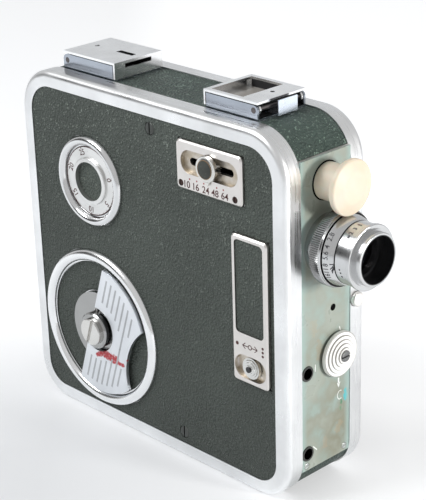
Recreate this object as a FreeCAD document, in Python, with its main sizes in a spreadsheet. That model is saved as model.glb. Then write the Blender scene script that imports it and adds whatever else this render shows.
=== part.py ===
import FreeCAD, Part
import math
import os

import Sketcher
from FreeCAD import Placement, Rotation, Vector

# Spring-driven 8 mm movie camera, in millimetres.
# X runs towards the lens, Y from the winder side to the film door, Z up.
# X = 0 is mid-length, Y = 0 mid-width, Z = 0 the underside of the two side rims.

doc = FreeCAD.newDocument("movie_camera")
sheet = doc.addObject("Spreadsheet::Sheet", "Sizes")


def text_of(value):
    """The spreadsheet text of a number or of a Size."""
    return value.formula if isinstance(value, Size) else repr(float(value))


class Size(float):
    """A number that also remembers how it follows from the sheet."""

    def __new__(cls, value, formula):
        number = float.__new__(cls, value)
        number.formula = formula
        return number

    def __add__(self, other):
        return Size(float(self) + float(other), "(%s + %s)" % (text_of(self), text_of(other)))

    def __radd__(self, other):
        return Size(float(other) + float(self), "(%s + %s)" % (text_of(other), text_of(self)))

    def __sub__(self, other):
        return Size(float(self) - float(other), "(%s - %s)" % (text_of(self), text_of(other)))

    def __rsub__(self, other):
        return Size(float(other) - float(self), "(%s - %s)" % (text_of(other), text_of(self)))

    def __mul__(self, other):
        return Size(float(self) * float(other), "(%s * %s)" % (text_of(self), text_of(other)))

    def __rmul__(self, other):
        return Size(float(other) * float(self), "(%s * %s)" % (text_of(other), text_of(self)))

    def __truediv__(self, other):
        return Size(float(self) / float(other), "(%s / %s)" % (text_of(self), text_of(other)))

    def __neg__(self):
        return Size(-float(self), "(0 - %s)" % text_of(self))


def sine(degrees):
    """Sine of an angle in degrees."""
    return Size(math.sin(math.radians(degrees)), "sin(%s)" % text_of(degrees))


def cosine(degrees):
    """Cosine of an angle in degrees."""
    return Size(math.cos(math.radians(degrees)), "cos(%s)" % text_of(degrees))


def side_left(longest, known):
    """Third side of a right triangle from its longest and another side."""
    text = (text_of(longest), text_of(longest), text_of(known), text_of(known))
    return Size(math.sqrt(longest * longest - known * known), "sqrt(%s * %s - %s * %s)" % text)


def remainder(value, step):
    """What is left of a value after whole steps."""
    return Size(math.fmod(value, step), "mod(%s; %s)" % (text_of(value), text_of(step)))


class Names:
    """The sheet's sizes, one attribute each."""


S = Names()


def fill_sheet(names):
    """Write every named number into the sheet and keep it as an attribute of S."""
    numbers = [(name, value) for name, value in names.items() if isinstance(value, (int, float))]
    for row, (name, value) in enumerate(numbers, start=1):
        sheet.set("A%d" % row, name)
        sheet.set("B%d" % row, repr(float(value)))
        sheet.setAlias("B%d" % row, name)
        setattr(S, name, Size(value, "Sizes." + name))
    doc.recompute()


body_length = 121.4  # over the side rims, front to back
body_width = 35.0  # over the side rims, side to side
body_height = 120.4  # over the side rims, base to top
corner_top = 15.0  # outer corner radius at the top
corner_base = 13.2  # outer corner radius at the base
rim_depth = 6.5  # how far a side rim reaches round the casting
rim_face = 5.2  # width of the bright rim seen from the side
rim_round = 2.0  # rounding of the rim's outer edge
panel_corner_top = 9.8  # corner of the side covering at the top
panel_corner_base = 8.0  # corner of the side covering at the base
panel_set = 0.35  # side covering below the rim
skin = 0.6  # thickness of the grained covering on the sides
cover_wall = 1.0  # side cover's face
band_set = 0.9  # casting below the rims
band_skin = 0.5  # thickness of the covering on the band
casting_wall = 2.9  # wall of the casting
lip_wall = 1.0  # spigot that the covers fit round
lip_reach = 1.0  # how far the spigot enters a cover
lip_fit = 0.15  # clearance of the spigot
gap = 0.3  # clearance between pieces that move apart
seam = 0.1  # clearance round pieces set into others
running = 0.06  # radial clearance of a turning shaft
partition_near = 7.4  # partition's face towards the mechanism, from the middle
partition_far = 6.0  # partition's face towards the film, from the middle
cover_screw_r = 2.1  # side cover screw head
cover_screw_x1 = 3.0  # upper side cover screw
cover_screw_z1 = -8.8  # upper side cover screw, from the top covering
cover_screw_x2 = 13.7  # lower side cover screw
cover_screw_z2 = 9.1  # lower side cover screw
winder_x = -26.0  # winder axis
winder_z = 34.3  # winder axis
winder_ring_r = 27.9  # winder ring outside
winder_dish_r = 23.7  # winder ring inside
winder_ring_proud = 1.9  # winder ring above the covering
arbor_r = 2.5  # winding arbor
hub_base_r = 13.0  # disc under the wing
hub_base_t = 0.65  # disc under the wing, thickness
hub_boss_r = 6.4  # boss in the middle of the hub
hub_boss_proud = 4.0  # boss above the covering
hub_screw_r = 4.7  # big slotted screw
hub_screw_proud = 5.4  # screw above the covering
slot_w = 1.3  # screwdriver slot of the big screw
wing_r = 23.3  # wing's outer radius
wing_t = 1.2  # wing's thickness
wing_turn = 18.54  # wing's direction below the horizontal, degrees
hinge_s = -2.35  # wing's hinge line from the hub's middle
hinge_proud = 1.45  # hinge line above the covering
hinge_pin_r = 0.32  # wing's hinge pin
knuckle_r = 0.62  # knuckles of the wing
knuckle_from = 7.9  # knuckle's inner end along the hinge
knuckle_to = 12.3  # knuckle's outer end along the hinge
notch_r = 23.2  # finger notch in the wing
notch_s = 16.05  # bottom of the finger notch from the hub's middle
wing_bore_r = 8.0  # wing's opening round the boss
groove_w = 0.55  # grip groove in the wing
groove_deep = 0.4  # grip groove's depth
groove_pitch = 2.42  # grip groove spacing
groove_first = -0.1  # first grip groove from the hub's middle
groove_in = 11.5  # radius at which the grip grooves begin
groove_out = 20.5  # radius at which the grip grooves end
groove_notch = 7.0  # how far the last grip groove stays from the notch's middle
hub_step_proud = 1.05  # raised part of the hub above the covering
wing_rear = 0.75  # wing's rear edge behind its hinge line
dial_x = -27.1  # counter axis
dial_z = -33.2  # counter axis, from the top covering
bezel_r = 15.4  # counter bezel outside
bezel_bore = 12.0  # counter bezel inside
bezel_proud = 1.8  # counter bezel above the covering
dial_proud = 0.2  # dial face above the covering
dial_t = 1.6  # dial's thickness
dial_lip_r = 8.0  # raised ring on the dial
dial_lip_h = 0.8  # raised ring's height
inlay_r = 6.5  # round inlay of the dial
inlay_t = 0.5  # inlay's thickness
dial_arbor_r = 1.5  # dial's arbor
dial_boss_t = 1.3  # floor of the dial's pocket
speed_x = -30.9  # speed plate's middle, from the front end
speed_z = -16.6  # speed plate's middle, from the top covering
speed_l = 28.0  # speed plate's length
speed_h = 15.7  # speed plate's height
speed_t = 1.2  # speed plate above the covering
speed_slot_x = -30.6  # middle of the speed slot, from the front end
speed_slot_z = -15.2  # middle of the speed slot, from the top covering
speed_slot_r = 3.8  # speed slot's end radius
speed_slot_reach = 8.4  # speed slot, middle to an end's centre
speed_travel = 8.0  # speed knob's travel either way
speed_knob_r = 4.1  # speed knob
speed_knob_t = 1.5  # speed knob's cap
stem_r = 1.1  # stem under a sliding knob
mode_x = -14.45  # long plate's middle, from the front end
mode_z0 = 38.2  # long plate's lower edge
mode_z1 = 86.8  # long plate's upper edge
mode_w = 14.9  # long plate's width
mode_t = 1.5  # long plate above the covering
plate_corner = 1.5  # corners of the plates
plate_bevel = 0.5  # bevel of the plates
mode_inlay_x0 = -20.4  # inlay's rear edge, from the front end
mode_inlay_x1 = -8.6  # inlay's front edge, from the front end
mode_inlay_z0 = 54.9  # inlay's lower edge
mode_inlay_z1 = 85.4  # inlay's upper edge
mode_slot_z = 43.8  # sliding switch height
mode_slot_r = 3.95  # sliding switch slot's end radius
mode_slot_reach = 2.7  # sliding switch slot, middle to an end's centre
mode_knob_r = 3.5  # sliding switch knob
mode_travel = 2.2  # sliding switch travel either way
front_face = -0.3  # front plate's face, from the front end
front_seat = -0.9  # casting's flat behind the front plate, from the front end
front_z0 = 9.6  # front plate's lower edge
front_z1 = -8.5  # front plate's upper edge, from the top covering
spare_y = 3.5  # small blind hole in the front plate
spare_z = 61.3  # small blind hole in the front plate
socket_y = -8.4  # cable sockets
socket_z1 = 43.1  # upper cable socket
socket_z2 = 15.4  # lower cable socket
socket_bore = 1.85  # cable socket's bore
socket_r = 2.45  # cable socket outside
socket_deep = 6.0  # cable socket's depth
lens_z = 83.7  # lens axis
lens_seat_r = 9.5  # lens seat
lens_back = 7.5  # lens tube behind the casting's flat
lens_tube_r = 8.0  # lens tube inside the rings
knurl_r = 12.0  # knurled ring
knurl_x0 = 3.6  # knurled ring's rear, from the front end
knurl_x1 = 7.3  # knurled ring's front, from the front end
knurl_count = 40  # flutes of the knurled ring
scale_r0 = 10.9  # number ring at its rear
scale_r1 = 9.9  # number ring at its front
scale_x1 = 11.5  # number ring's front, from the front end
barrel_x0 = 11.8  # front ring's rear, from the front end
barrel_x1 = 16.3  # front ring's front, from the front end
barrel_r = 9.8  # front ring
hood_x0 = 18.1  # hood's rear, from the front end
hood_x1 = 19.9  # hood's front, from the front end
hood_r = 8.3  # hood
mouth_r = 7.3  # mouth of the hood
glass_r = 6.2  # front glass
iris_r = 1.9  # stop's opening
plug_y = 0.2  # plug above the lens
plug_z = -16.6  # plug above the lens, from the top covering
plug_r = 8.6  # plug's head
plug_neck_r = 5.75  # plug's neck
plug_head_x = 8.1  # plug's head, rear, from the front end
plug_top_x = 10.9  # plug's head, front, from the front end
plug_stem_r = 3.4  # plug's stem in the front plate
release_y = 4.9  # release axis
release_z = 45.6  # release axis
release_r = 7.5  # release disc
release_x0 = 0.6  # release disc's rear, from the front end
release_x1 = 3.3  # release disc's front, from the front end
release_up = 2.5  # release travel upwards
release_down = 5.0  # release travel downwards
release_slot_r = 1.7  # release slot's half width
latch_y = 13.45  # latch button
latch_z = 61.1  # latch button
latch_r = 2.35  # latch button
latch_top = 1.6  # latch button's front, from the front end
latch_travel = 0.8  # latch button's travel
small_screw_r = 1.0  # front plate and speed plate screws
bush_r = 6.4  # tripod bush
bush_flange_r = 8.0  # tripod bush's flange
bush_flange_t = 0.9  # tripod bush's flange, thickness
bush_bore = 4.76  # tripod thread
bush_top = 8.4  # tripod bush's upper end
boss_r = 9.2  # boss round the tripod bush
module = 1.2  # gear module
barrel_teeth = 48  # teeth of the spring barrel
wheel_teeth = 46  # teeth of the train wheel
pinion_teeth = 12  # teeth of the pinions
train_angle = 34.0  # direction from the barrel to the train wheel, degrees
crank_angle = 16.0  # direction from the train wheel to the crank, degrees
crank_throw = 2.1  # crank pin from its axis
gear_near = 10.6  # barrel teeth, near face from the middle
gear_far = 8.9  # barrel teeth, far face from the middle
wheel_near = 8.6  # train wheel, near face from the middle
wheel_far = 7.7  # train wheel, far face from the middle
drum_r = 23.5  # spring drum outside
drum_wall = 1.0  # spring drum's wall
drum_near = 15.2  # spring drum, near face from the middle
sleeve_wall = 0.9  # barrel sleeve's wall
core_r = 5.0  # arbor's core inside the spring
spring_t = 0.45  # mainspring's thickness
spring_pitch = 1.6  # mainspring's spacing
disc_r = 5.4  # crank disc
crank_pin_r = 0.8  # crank pin
yoke_t = 1.0  # yoke's thickness
post_r = 1.5  # posts of the gear train
gate_x = -14.7  # film gate's rear face, from the front end
gate_t = 1.5  # film gate's thickness
gate_z0 = 64.0  # film gate's lower end
gate_z1 = 103.0  # film gate's upper end
film_w = 16.0  # double-run film's width
film_edge = -5.6  # film's edge beside the partition
aperture_y = 4.9  # picture width
aperture_z = 3.7  # picture height
claw_t = 0.9  # claw plate's thickness
claw_gap = 0.3  # claw plate from the gate
claw_stroke = 4.2  # claw's stroke
blade_z0 = 77.5  # shutter blade's lower edge
blade_z1 = 92.0  # shutter blade's upper edge
pressure_t = 1.0  # pressure plate
pressure_travel = 2.0  # pressure plate's travel
film_room = 1.5  # film path between gate and pressure plate
spool_r = 7.0  # spindle flange
spindle_r = 4.7  # spool spindle
finder_y = 10.3  # finders' half width
finder_wall = 0.7  # sheet thickness of the finders
rear_x1 = 40.5  # rear finder's free end, from the rear end
rear_pin_x = 17.0  # rear finder's pin, from the rear end
rear_pin_z = 3.1  # rear finder's pin, from the top covering
rear_top = 6.1  # rear finder's top, from the top covering
fore_x0 = -40.2  # front finder's free end, from the front end
fore_x1 = -15.7  # front finder's hinge end, from the front end
fore_pin_x = -19.3  # front finder's pin, from the front end
fore_pin_z = 3.2  # front finder's pin, from the top covering
fore_top = 5.8  # front finder's top, from the top covering
pin_r = 0.9  # finder pins

fill_sheet(dict(globals()))

FRONT = S.body_length / 2
TOP = S.body_height - S.band_set + S.band_skin


def measured_from(datum, *names):
    """Turn distances from a datum into places in the part's frame."""
    for name in names:
        setattr(S, name, datum + getattr(S, name))


measured_from(FRONT,
              "speed_x", "speed_slot_x", "mode_x", "mode_inlay_x0", "mode_inlay_x1", "front_face",
              "front_seat", "knurl_x0", "knurl_x1", "scale_x1", "barrel_x0", "barrel_x1", "hood_x0",
              "hood_x1", "plug_head_x", "plug_top_x", "release_x0", "release_x1", "latch_top",
              "gate_x", "fore_x0", "fore_x1", "fore_pin_x")
measured_from(-FRONT, "rear_x1", "rear_pin_x")
measured_from(TOP,
              "cover_screw_z1", "dial_z", "speed_z", "speed_slot_z", "front_z1", "plug_z",
              "rear_pin_z", "rear_top", "fore_pin_z", "fore_top")

LEATHER = S.body_width / 2 - S.panel_set
COVER = LEATHER - S.skin
ROOM = COVER - S.cover_wall
BAND = S.body_width / 2 - S.rim_depth
SLEEVE_R = S.arbor_r + S.running + S.sleeve_wall
PITCH_BARREL = S.module * S.barrel_teeth / 2
PITCH_WHEEL = S.module * S.wheel_teeth / 2
PITCH_PINION = S.module * S.pinion_teeth / 2
TRAIN_X = S.winder_x + (PITCH_BARREL + PITCH_PINION) * cosine(S.train_angle)
TRAIN_Z = S.winder_z + (PITCH_BARREL + PITCH_PINION) * sine(S.train_angle)
CRANK_X = TRAIN_X + (PITCH_WHEEL + PITCH_PINION) * cosine(S.crank_angle)
CRANK_Z = TRAIN_Z + (PITCH_WHEEL + PITCH_PINION) * sine(S.crank_angle)
GATE_FRONT = S.gate_x + S.gate_t
CLAW_X0 = GATE_FRONT + S.claw_gap
CLAW_X1 = CLAW_X0 + S.claw_t
HINGE_Y = LEATHER + S.hinge_proud
LENS_BACK = S.front_seat - S.lens_back
DIAL_FACE = LEATHER + S.dial_proud
DIAL_BACK = DIAL_FACE - S.dial_t
KNOB_SLOTS = ((S.speed_slot_x, S.speed_slot_z, S.speed_travel, S.stem_r + S.seam),
              (S.mode_x, S.mode_slot_z, S.mode_travel, S.stem_r + S.seam))
SPEED_SCREWS = (S.speed_x - 12.0, S.speed_x + 11.2)
SPEED_SCREW_Z = S.speed_z - S.speed_h / 2 + 1.95
FRONT_SCREWS = ((S.socket_y - 0.4, S.front_z0 + 1.6), (-S.socket_y + 0.2, S.front_z0 + 1.8))
IRIS_X = S.knurl_x0 + 0.3
WINDOW_X = S.fore_x0 + 15.0
GLASS_Z = TOP + 1.8
LATCH_SEAT = S.body_length / 2 - S.latch_travel - S.gap * 2
HALF_TOOTH = Size(180.0 / S.pinion_teeth, "(180 / Sizes.pinion_teeth)")
TRAIN_TURN = S.train_angle + 180.0 + HALF_TOOTH
WHEEL_STEP = Size(360.0 / S.wheel_teeth, "(360 / Sizes.wheel_teeth)")
WHEEL_PHASE = remainder(S.crank_angle - TRAIN_TURN + WHEEL_STEP * S.wheel_teeth * 2, WHEEL_STEP)
CRANK_TURN = S.crank_angle + 180.0 + HALF_TOOTH + WHEEL_PHASE * S.wheel_teeth / S.pinion_teeth
PRESS_Y = S.film_edge + S.film_w + 1.2
PRESS_PINS = (S.lens_z - 9.0, S.lens_z + 9.0)
SOCKET_FRONT = S.front_face + 0.3
SOCKET_BACK = SOCKET_FRONT - S.socket_deep - 1.0


def origin_item(body, role):
    """Plane or axis of a body's own origin."""
    return [item for item in body.Origin.OriginFeatures if item.Role == role][0]


def bind(item, path, value):
    """Tie a property to the sheet where the value follows from it."""
    if isinstance(value, Size):
        item.setExpression(path, value.formula)


def new_body(name, x=0.0, y=0.0, z=0.0, turn=None):
    """Start a sub-part. turn is an angle about +Y in degrees."""
    body = doc.addObject("PartDesign::Body", name)
    body.Label = name
    rotation = Rotation(Vector(0, 1, 0), float(turn)) if turn is not None else Rotation()
    body.Placement = Placement(Vector(x, y, z), rotation)
    bind(body, ".Placement.Base.x", x)
    bind(body, ".Placement.Base.y", y)
    bind(body, ".Placement.Base.z", z)
    if turn is not None:
        bind(body, ".Placement.Rotation.Angle", turn)
    return body


PLANES = {"X": "YZ_Plane", "Y": "XZ_Plane", "Z": "XY_Plane"}


def sketch_on(body, across, level):
    """Sketch square to an axis at a level along it.

    Across X the sketch holds (Y, Z), across Y (X, Z) and across Z (X, Y).
    """
    drawing = body.newObject("Sketcher::SketchObject", body.Name + "_sketch")
    drawing.AttachmentSupport = [(origin_item(body, PLANES[across]), "")]
    drawing.MapMode = "FlatFace"
    offset = -level if across == "Y" else level
    drawing.AttachmentOffset = Placement(Vector(0, 0, offset), Rotation())
    bind(drawing, ".AttachmentOffset.Base.z", offset)
    return drawing


def fix_number(drawing, kind, where, value):
    """Add one dimension and tie it to the sheet."""
    number = drawing.addConstraint(Sketcher.Constraint(kind, *where, float(value)))
    if isinstance(value, Size):
        name = "d%d" % number
        drawing.renameConstraint(number, name)
        drawing.setExpression("Constraints." + name, value.formula)


def fix_point(drawing, item, end, x, y):
    """Fix a point's two coordinates. A plain 0.0 puts it on the axis."""
    if not isinstance(x, Size) and x == 0:
        drawing.addConstraint(Sketcher.Constraint("PointOnObject", item, end, -2))
    else:
        fix_number(drawing, "DistanceX", (-1, 1, item, end), x)
    if not isinstance(y, Size) and y == 0:
        drawing.addConstraint(Sketcher.Constraint("PointOnObject", item, end, -1))
    else:
        fix_number(drawing, "DistanceY", (-1, 1, item, end), y)


def circle(drawing, x, y, radius):
    """A circle with its centre and radius fixed."""
    item = drawing.addGeometry(Part.Circle(Vector(x, y, 0), Vector(0, 0, 1), float(radius)), False)
    fix_number(drawing, "Radius", (item,), radius)
    fix_point(drawing, item, 3, x, y)


def outline(drawing, corners):
    """A closed outline of straight sides. A third number rounds a square corner."""
    count = len(corners)
    flat = [Vector(float(c[0]), float(c[1]), 0) for c in corners]
    radii = [c[2] if len(c) > 2 else None for c in corners]
    backs = [(flat[i - 1] - flat[i]).normalize() for i in range(count)]
    aheads = [(flat[(i + 1) % count] - flat[i]).normalize() for i in range(count)]
    starts = [flat[i] + aheads[i] * float(radii[i] or 0.0) for i in range(count)]
    ends = [flat[i] + backs[i] * float(radii[i] or 0.0) for i in range(count)]
    lines = [drawing.addGeometry(Part.LineSegment(starts[i], ends[(i + 1) % count]), False)
             for i in range(count)]
    for index in range(count):
        line_in = lines[index - 1]
        line_out = lines[index]
        x, y = corners[index][:2]
        if radii[index] is None:
            drawing.addConstraint(Sketcher.Constraint("Coincident", line_in, 2, line_out, 1))
            fix_point(drawing, line_out, 1, x, y)
            continue
        radius = radii[index]
        inward = backs[index] + aheads[index]
        centre_x = x + radius if inward.x > 0 else x - radius
        centre_y = y + radius if inward.y > 0 else y - radius
        centre = Vector(float(centre_x), float(centre_y), 0)
        bend = centre - inward.normalize() * float(radius)
        item = drawing.addGeometry(Part.Arc(ends[index], bend, starts[index]), False)
        placed = drawing.Geometry[item]
        along = (placed.StartPoint - ends[index]).Length < (placed.StartPoint - starts[index]).Length
        first = 1 if along else 2
        level_in = "Vertical" if abs(backs[index].y) < 0.5 else "Horizontal"
        level_out = "Vertical" if abs(aheads[index].y) < 0.5 else "Horizontal"
        drawing.addConstraint(Sketcher.Constraint("Coincident", line_in, 2, item, first))
        drawing.addConstraint(Sketcher.Constraint("Coincident", line_out, 1, item, 3 - first))
        drawing.addConstraint(Sketcher.Constraint(level_in, item, first, item, 3))
        drawing.addConstraint(Sketcher.Constraint(level_out, item, 3 - first, item, 3))
        fix_number(drawing, "Radius", (item,), radius)
        fix_point(drawing, item, 3, centre_x, centre_y)


def box(x0, y0, x1, y1, radius=None):
    """Corners of an upright rectangle, optionally rounded."""
    corners = [(x0, y0), (x1, y0), (x1, y1), (x0, y1)]
    return [c + (radius,) for c in corners] if radius is not None else corners


def slot(drawing, x, y, reach, radius):
    """A round-ended slot along the first axis; reach is from its middle to an end's centre."""
    left = Vector(float(x - reach), float(y), 0)
    right = Vector(float(x + reach), float(y), 0)
    up = Vector(0, float(radius), 0)
    out = Vector(float(radius), 0, 0)
    low = drawing.addGeometry(Part.LineSegment(left - up, right - up), False)
    end_b = drawing.addGeometry(Part.Arc(right - up, right + out, right + up), False)
    top = drawing.addGeometry(Part.LineSegment(right + up, left + up), False)
    end_a = drawing.addGeometry(Part.Arc(left + up, left - out, left - up), False)
    for line, line_end, arc, arc_end in ((low, 2, end_b, 1), (top, 1, end_b, 2),
                                         (top, 2, end_a, 1), (low, 1, end_a, 2)):
        drawing.addConstraint(Sketcher.Constraint("Tangent", line, line_end, arc, arc_end))
    fix_number(drawing, "Radius", (end_b,), radius)
    fix_point(drawing, end_a, 3, x - reach, y)
    fix_point(drawing, end_b, 3, x + reach, y)


def draw(drawing, shapes):
    """Draw outlines (lists of corners), circles ("circle", x, y, r) and slots."""
    for shape in shapes:
        if isinstance(shape, list):
            outline(drawing, shape)
        elif shape[0] == "circle":
            circle(drawing, *shape[1:])
        else:
            slot(drawing, *shape[1:])


def prism(body, across, low, high, *shapes):
    """Add material between two levels along an axis."""
    start = high if across == "Y" else low
    drawing = sketch_on(body, across, start)
    draw(drawing, shapes)
    feature = body.newObject("PartDesign::Pad", body.Name + "_pad")
    feature.Profile = drawing
    feature.Type = "Length"
    feature.Length = float(high - low)
    bind(feature, "Length", high - low)
    return finish(body, feature, 1)


def cut(body, across, low, high, *shapes):
    """Take material away between two levels along an axis."""
    start = low if across == "Y" else high
    drawing = sketch_on(body, across, start)
    draw(drawing, shapes)
    feature = body.newObject("PartDesign::Pocket", body.Name + "_pocket")
    feature.Profile = drawing
    feature.Type = "Length"
    feature.Length = float(high - low)
    bind(feature, "Length", high - low)
    return finish(body, feature, -1)


def turned(body, along, points, remove=False):
    """Turn a profile of (level along the axis, radius) points about an axis of the body.

    A third number on a point rounds that edge.
    """
    drawing = sketch_on(body, "Z" if along == "Y" else "Y", 0.0)
    if along == "X":
        outline(drawing, [(p[0], p[1]) for p in points])
        axis = "H_Axis"
    else:
        outline(drawing, [(p[1], p[0]) for p in points])
        axis = "V_Axis"
    kind = "Groove" if remove else "Revolution"
    feature = body.newObject("PartDesign::" + kind, body.Name + "_turned")
    feature.Profile = drawing
    feature.ReferenceAxis = (drawing, [axis])
    feature.Angle = 360
    finish(body, feature, -1 if remove else 1)
    for point in points:
        if len(point) > 2:
            feature = dress(body, "Fillet", point[2], round_edge(along, point[0], point[1]))
    return feature


def round_edge(along, level, radius):
    """Test for the circular edge at a level along an axis and of a radius."""
    number = "XYZ".index(along)

    def test(edge):
        curve = edge.Curve
        return (isinstance(curve, Part.Circle) and abs(curve.Radius - float(radius)) < 0.001
                and abs(curve.Center[number] - float(level)) < 0.001)
    return test


def finish(body, feature, sign):
    """Recompute and make sure that the feature changed the volume the right way."""
    base = feature.BaseFeature
    before = base.Shape.Volume if base is not None else 0.0
    doc.recompute()
    change = feature.Shape.Volume - before
    if change * sign <= 0 and hasattr(feature, "Reversed"):
        feature.Reversed = not feature.Reversed
        doc.recompute()
        change = feature.Shape.Volume - before
    if change * sign <= 0:
        raise RuntimeError("%s of %s does not change its volume" % (feature.Name, body.Name))
    return feature


def around(body, feature, axis, count):
    """Repeat a feature evenly about an axis of the body."""
    pattern = body.newObject("PartDesign::PolarPattern", body.Name + "_pattern")
    pattern.Originals = [feature]
    pattern.Axis = (origin_item(body, axis + "_Axis"), [""])
    pattern.Angle = 360
    pattern.Occurrences = int(count)
    bind(pattern, "Occurrences", count)
    body.Tip = pattern
    doc.recompute()
    return pattern


def in_a_row(body, feature, axis, length, count, backwards=False):
    """Repeat a feature along an axis of the body; length is from first to last."""
    pattern = body.newObject("PartDesign::LinearPattern", body.Name + "_row")
    pattern.Originals = [feature]
    pattern.Direction = (origin_item(body, axis + "_Axis"), [""])
    pattern.Reversed = backwards
    pattern.Length = float(length)
    bind(pattern, "Length", length)
    pattern.Occurrences = int(count)
    bind(pattern, "Occurrences", count)
    body.Tip = pattern
    doc.recompute()
    return pattern


def dress(body, kind, size, chosen):
    """Fillet or chamfer the edges of the tip that the test picks."""
    base = body.Tip
    names = ["Edge%d" % (i + 1) for i, edge in enumerate(base.Shape.Edges) if chosen(edge)]
    if not names:
        raise RuntimeError("no edge to dress on " + body.Name)
    feature = body.newObject("PartDesign::" + kind, body.Name + "_" + kind.lower())
    feature.Base = (base, names)
    path = "Radius" if kind == "Fillet" else "Size"
    setattr(feature, path, float(size))
    bind(feature, path, size)
    doc.recompute()
    return feature


def at_level(axis, level, reach=0.01):
    """Test for edges that lie flat at a level along an axis."""
    number = "XYZ".index(axis)
    keys = (("XMin", "XMax"), ("YMin", "YMax"), ("ZMin", "ZMax"))[number]

    def test(edge):
        bounds = edge.BoundBox
        return (abs(getattr(bounds, keys[0]) - float(level)) < reach
                and abs(getattr(bounds, keys[1]) - float(level)) < reach)
    return test


def group(name, bodies):
    """One sub-part made of several equal pieces."""
    compound = doc.addObject("Part::Compound", name)
    compound.Label = name
    compound.Links = bodies
    return compound



def make_side_leather():
    """Grained covering of the winder side, with its openings."""
    body = new_body("side_leather")
    fit = S.rim_face + S.seam
    prism(body, "Y", -LEATHER, -COVER,
          camera_outline(fit, S.panel_corner_top - S.seam, S.panel_corner_base - S.seam))
    cut(body, "Y", -LEATHER, -COVER, ("circle", S.winder_x, S.winder_z, S.winder_ring_r + S.seam))
    cut(body, "Y", -LEATHER, -COVER, ("circle", S.dial_x, S.dial_z, S.bezel_r + S.seam))
    half_l = S.speed_l / 2 + S.seam
    half_h = S.speed_h / 2 + S.seam
    cut(body, "Y", -LEATHER, -COVER,
        box(S.speed_x - half_l, S.speed_z - half_h, S.speed_x + half_l, S.speed_z + half_h))
    cut(body, "Y", -LEATHER, -COVER, box(S.mode_x - S.mode_w / 2 - S.seam, S.mode_z0 - S.seam,
                                         S.mode_x + S.mode_w / 2 + S.seam, S.mode_z1 + S.seam))
    for x, z in ((S.cover_screw_x1, S.cover_screw_z1), (S.cover_screw_x2, S.cover_screw_z2)):
        cut(body, "Y", -LEATHER, -COVER, ("circle", x, z, S.cover_screw_r + S.seam))
    return body


def make_band_leather():
    """Covering round the band, open at the front plate."""
    body = new_body("band_leather")
    half = BAND - S.seam
    outer = S.band_set - S.band_skin
    prism(body, "Y", -half, half, camera_outline(outer))
    cut(body, "Y", -half, half, camera_outline(S.band_set))
    cut(body, "Y", -half, half, box(S.front_seat - S.corner_top, S.front_z0 - S.seam,
                                    S.body_length, S.front_z1 + S.seam))
    cut(body, "Z", 0.0, S.bush_flange_r, ("circle", 0.0, 0.0, S.bush_flange_r + S.seam))
    return body


def slotted_screw(name, x, z, radius, seat, proud, stem_r, stem_end):
    """Slotted cheese-head screw standing along -Y, its slot along Z."""
    body = new_body(name, x, 0.0, z)
    turned(body, "Y", [(-proud, 0.0), (-proud, radius, radius * 0.25), (-seat, radius), (-seat, stem_r),
                       (-stem_end, stem_r), (-stem_end, 0.0)])
    cut(body, "Y", -proud, -proud + radius * 0.4,
        box(-radius * 0.13, -radius * 1.2, radius * 0.13, radius * 1.2))
    return body


def make_cover_screws():
    """The two screws of the side cover."""
    ends = ((S.cover_screw_x1, S.cover_screw_z1), (S.cover_screw_x2, S.cover_screw_z2))
    return group("cover_screws", [
        slotted_screw("cover_screw_%d" % number, x, z, S.cover_screw_r, COVER, LEATHER + S.seam,
                      S.cover_screw_r * 0.5, ROOM + S.seam)
        for number, (x, z) in enumerate(ends, start=1)])


def make_winder_ring():
    """Bright stepped ring round the winder dish."""
    body = new_body("winder_ring", S.winder_x, 0.0, S.winder_z)
    top = LEATHER + S.winder_ring_proud
    step = S.winder_dish_r + 0.9
    turned(body, "Y", [(-COVER, S.winder_dish_r), (-COVER, S.winder_ring_r),
                       (-LEATHER - S.winder_ring_proud * 0.35, S.winder_ring_r, 0.6),
                       (-top, S.winder_ring_r - 1.3, 0.8), (-top, step, 0.3),
                       (-top + 0.5, step - 0.1, 0.2), (-top + 0.7, S.winder_dish_r)])
    return body


def make_dish_leather():
    """Grained ring in the winder dish, round the hub."""
    body = new_body("dish_leather", S.winder_x, 0.0, S.winder_z)
    prism(body, "Y", -COVER - S.gap, -COVER, ("circle", 0.0, 0.0, S.winder_dish_r - S.seam * 2),
          ("circle", 0.0, 0.0, S.hub_base_r + S.gap))
    return body


def make_bezel():
    """Rounded chrome bezel of the counter."""
    body = new_body("counter_bezel", S.dial_x, 0.0, S.dial_z)
    top = LEATHER + S.bezel_proud
    middle = (S.bezel_r + S.bezel_bore) / 2.0
    turned(body, "Y", [(-COVER, S.bezel_bore), (-COVER, S.bezel_r), (-LEATHER - 0.3, S.bezel_r, 0.6),
                       (-top, middle + 0.5, 0.9), (-top, middle - 0.7, 0.7),
                       (-LEATHER - 0.6, S.bezel_bore)])
    return body


def make_dial():
    """Counter dial with its raised ring, arbor below."""
    body = new_body("counter_dial", S.dial_x, 0.0, S.dial_z)
    lip = DIAL_FACE + S.dial_lip_h
    floor = lip - 1.5 - S.inlay_t
    outer = S.bezel_bore - S.gap
    end = BAND + 1.2
    turned(body, "Y", [(-floor, 0.0), (-floor, S.inlay_r + S.seam), (-lip, S.inlay_r + S.seam),
                       (-lip, S.dial_lip_r, 0.4), (-DIAL_FACE, S.dial_lip_r), (-DIAL_FACE, outer, 0.3),
                       (-DIAL_BACK, outer), (-DIAL_BACK, S.dial_arbor_r), (-end, S.dial_arbor_r),
                       (-end, 0.0)])
    return body


def make_dial_inlay():
    """Round grained inlay of the dial."""
    body = new_body("dial_inlay", S.dial_x, 0.0, S.dial_z)
    floor = DIAL_FACE + S.dial_lip_h - 1.5 - S.inlay_t
    top = floor + S.inlay_t
    turned(body, "Y", [(-floor, 0.0), (-floor, S.inlay_r), (-top, S.inlay_r), (-top, 0.0)])
    return body


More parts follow.
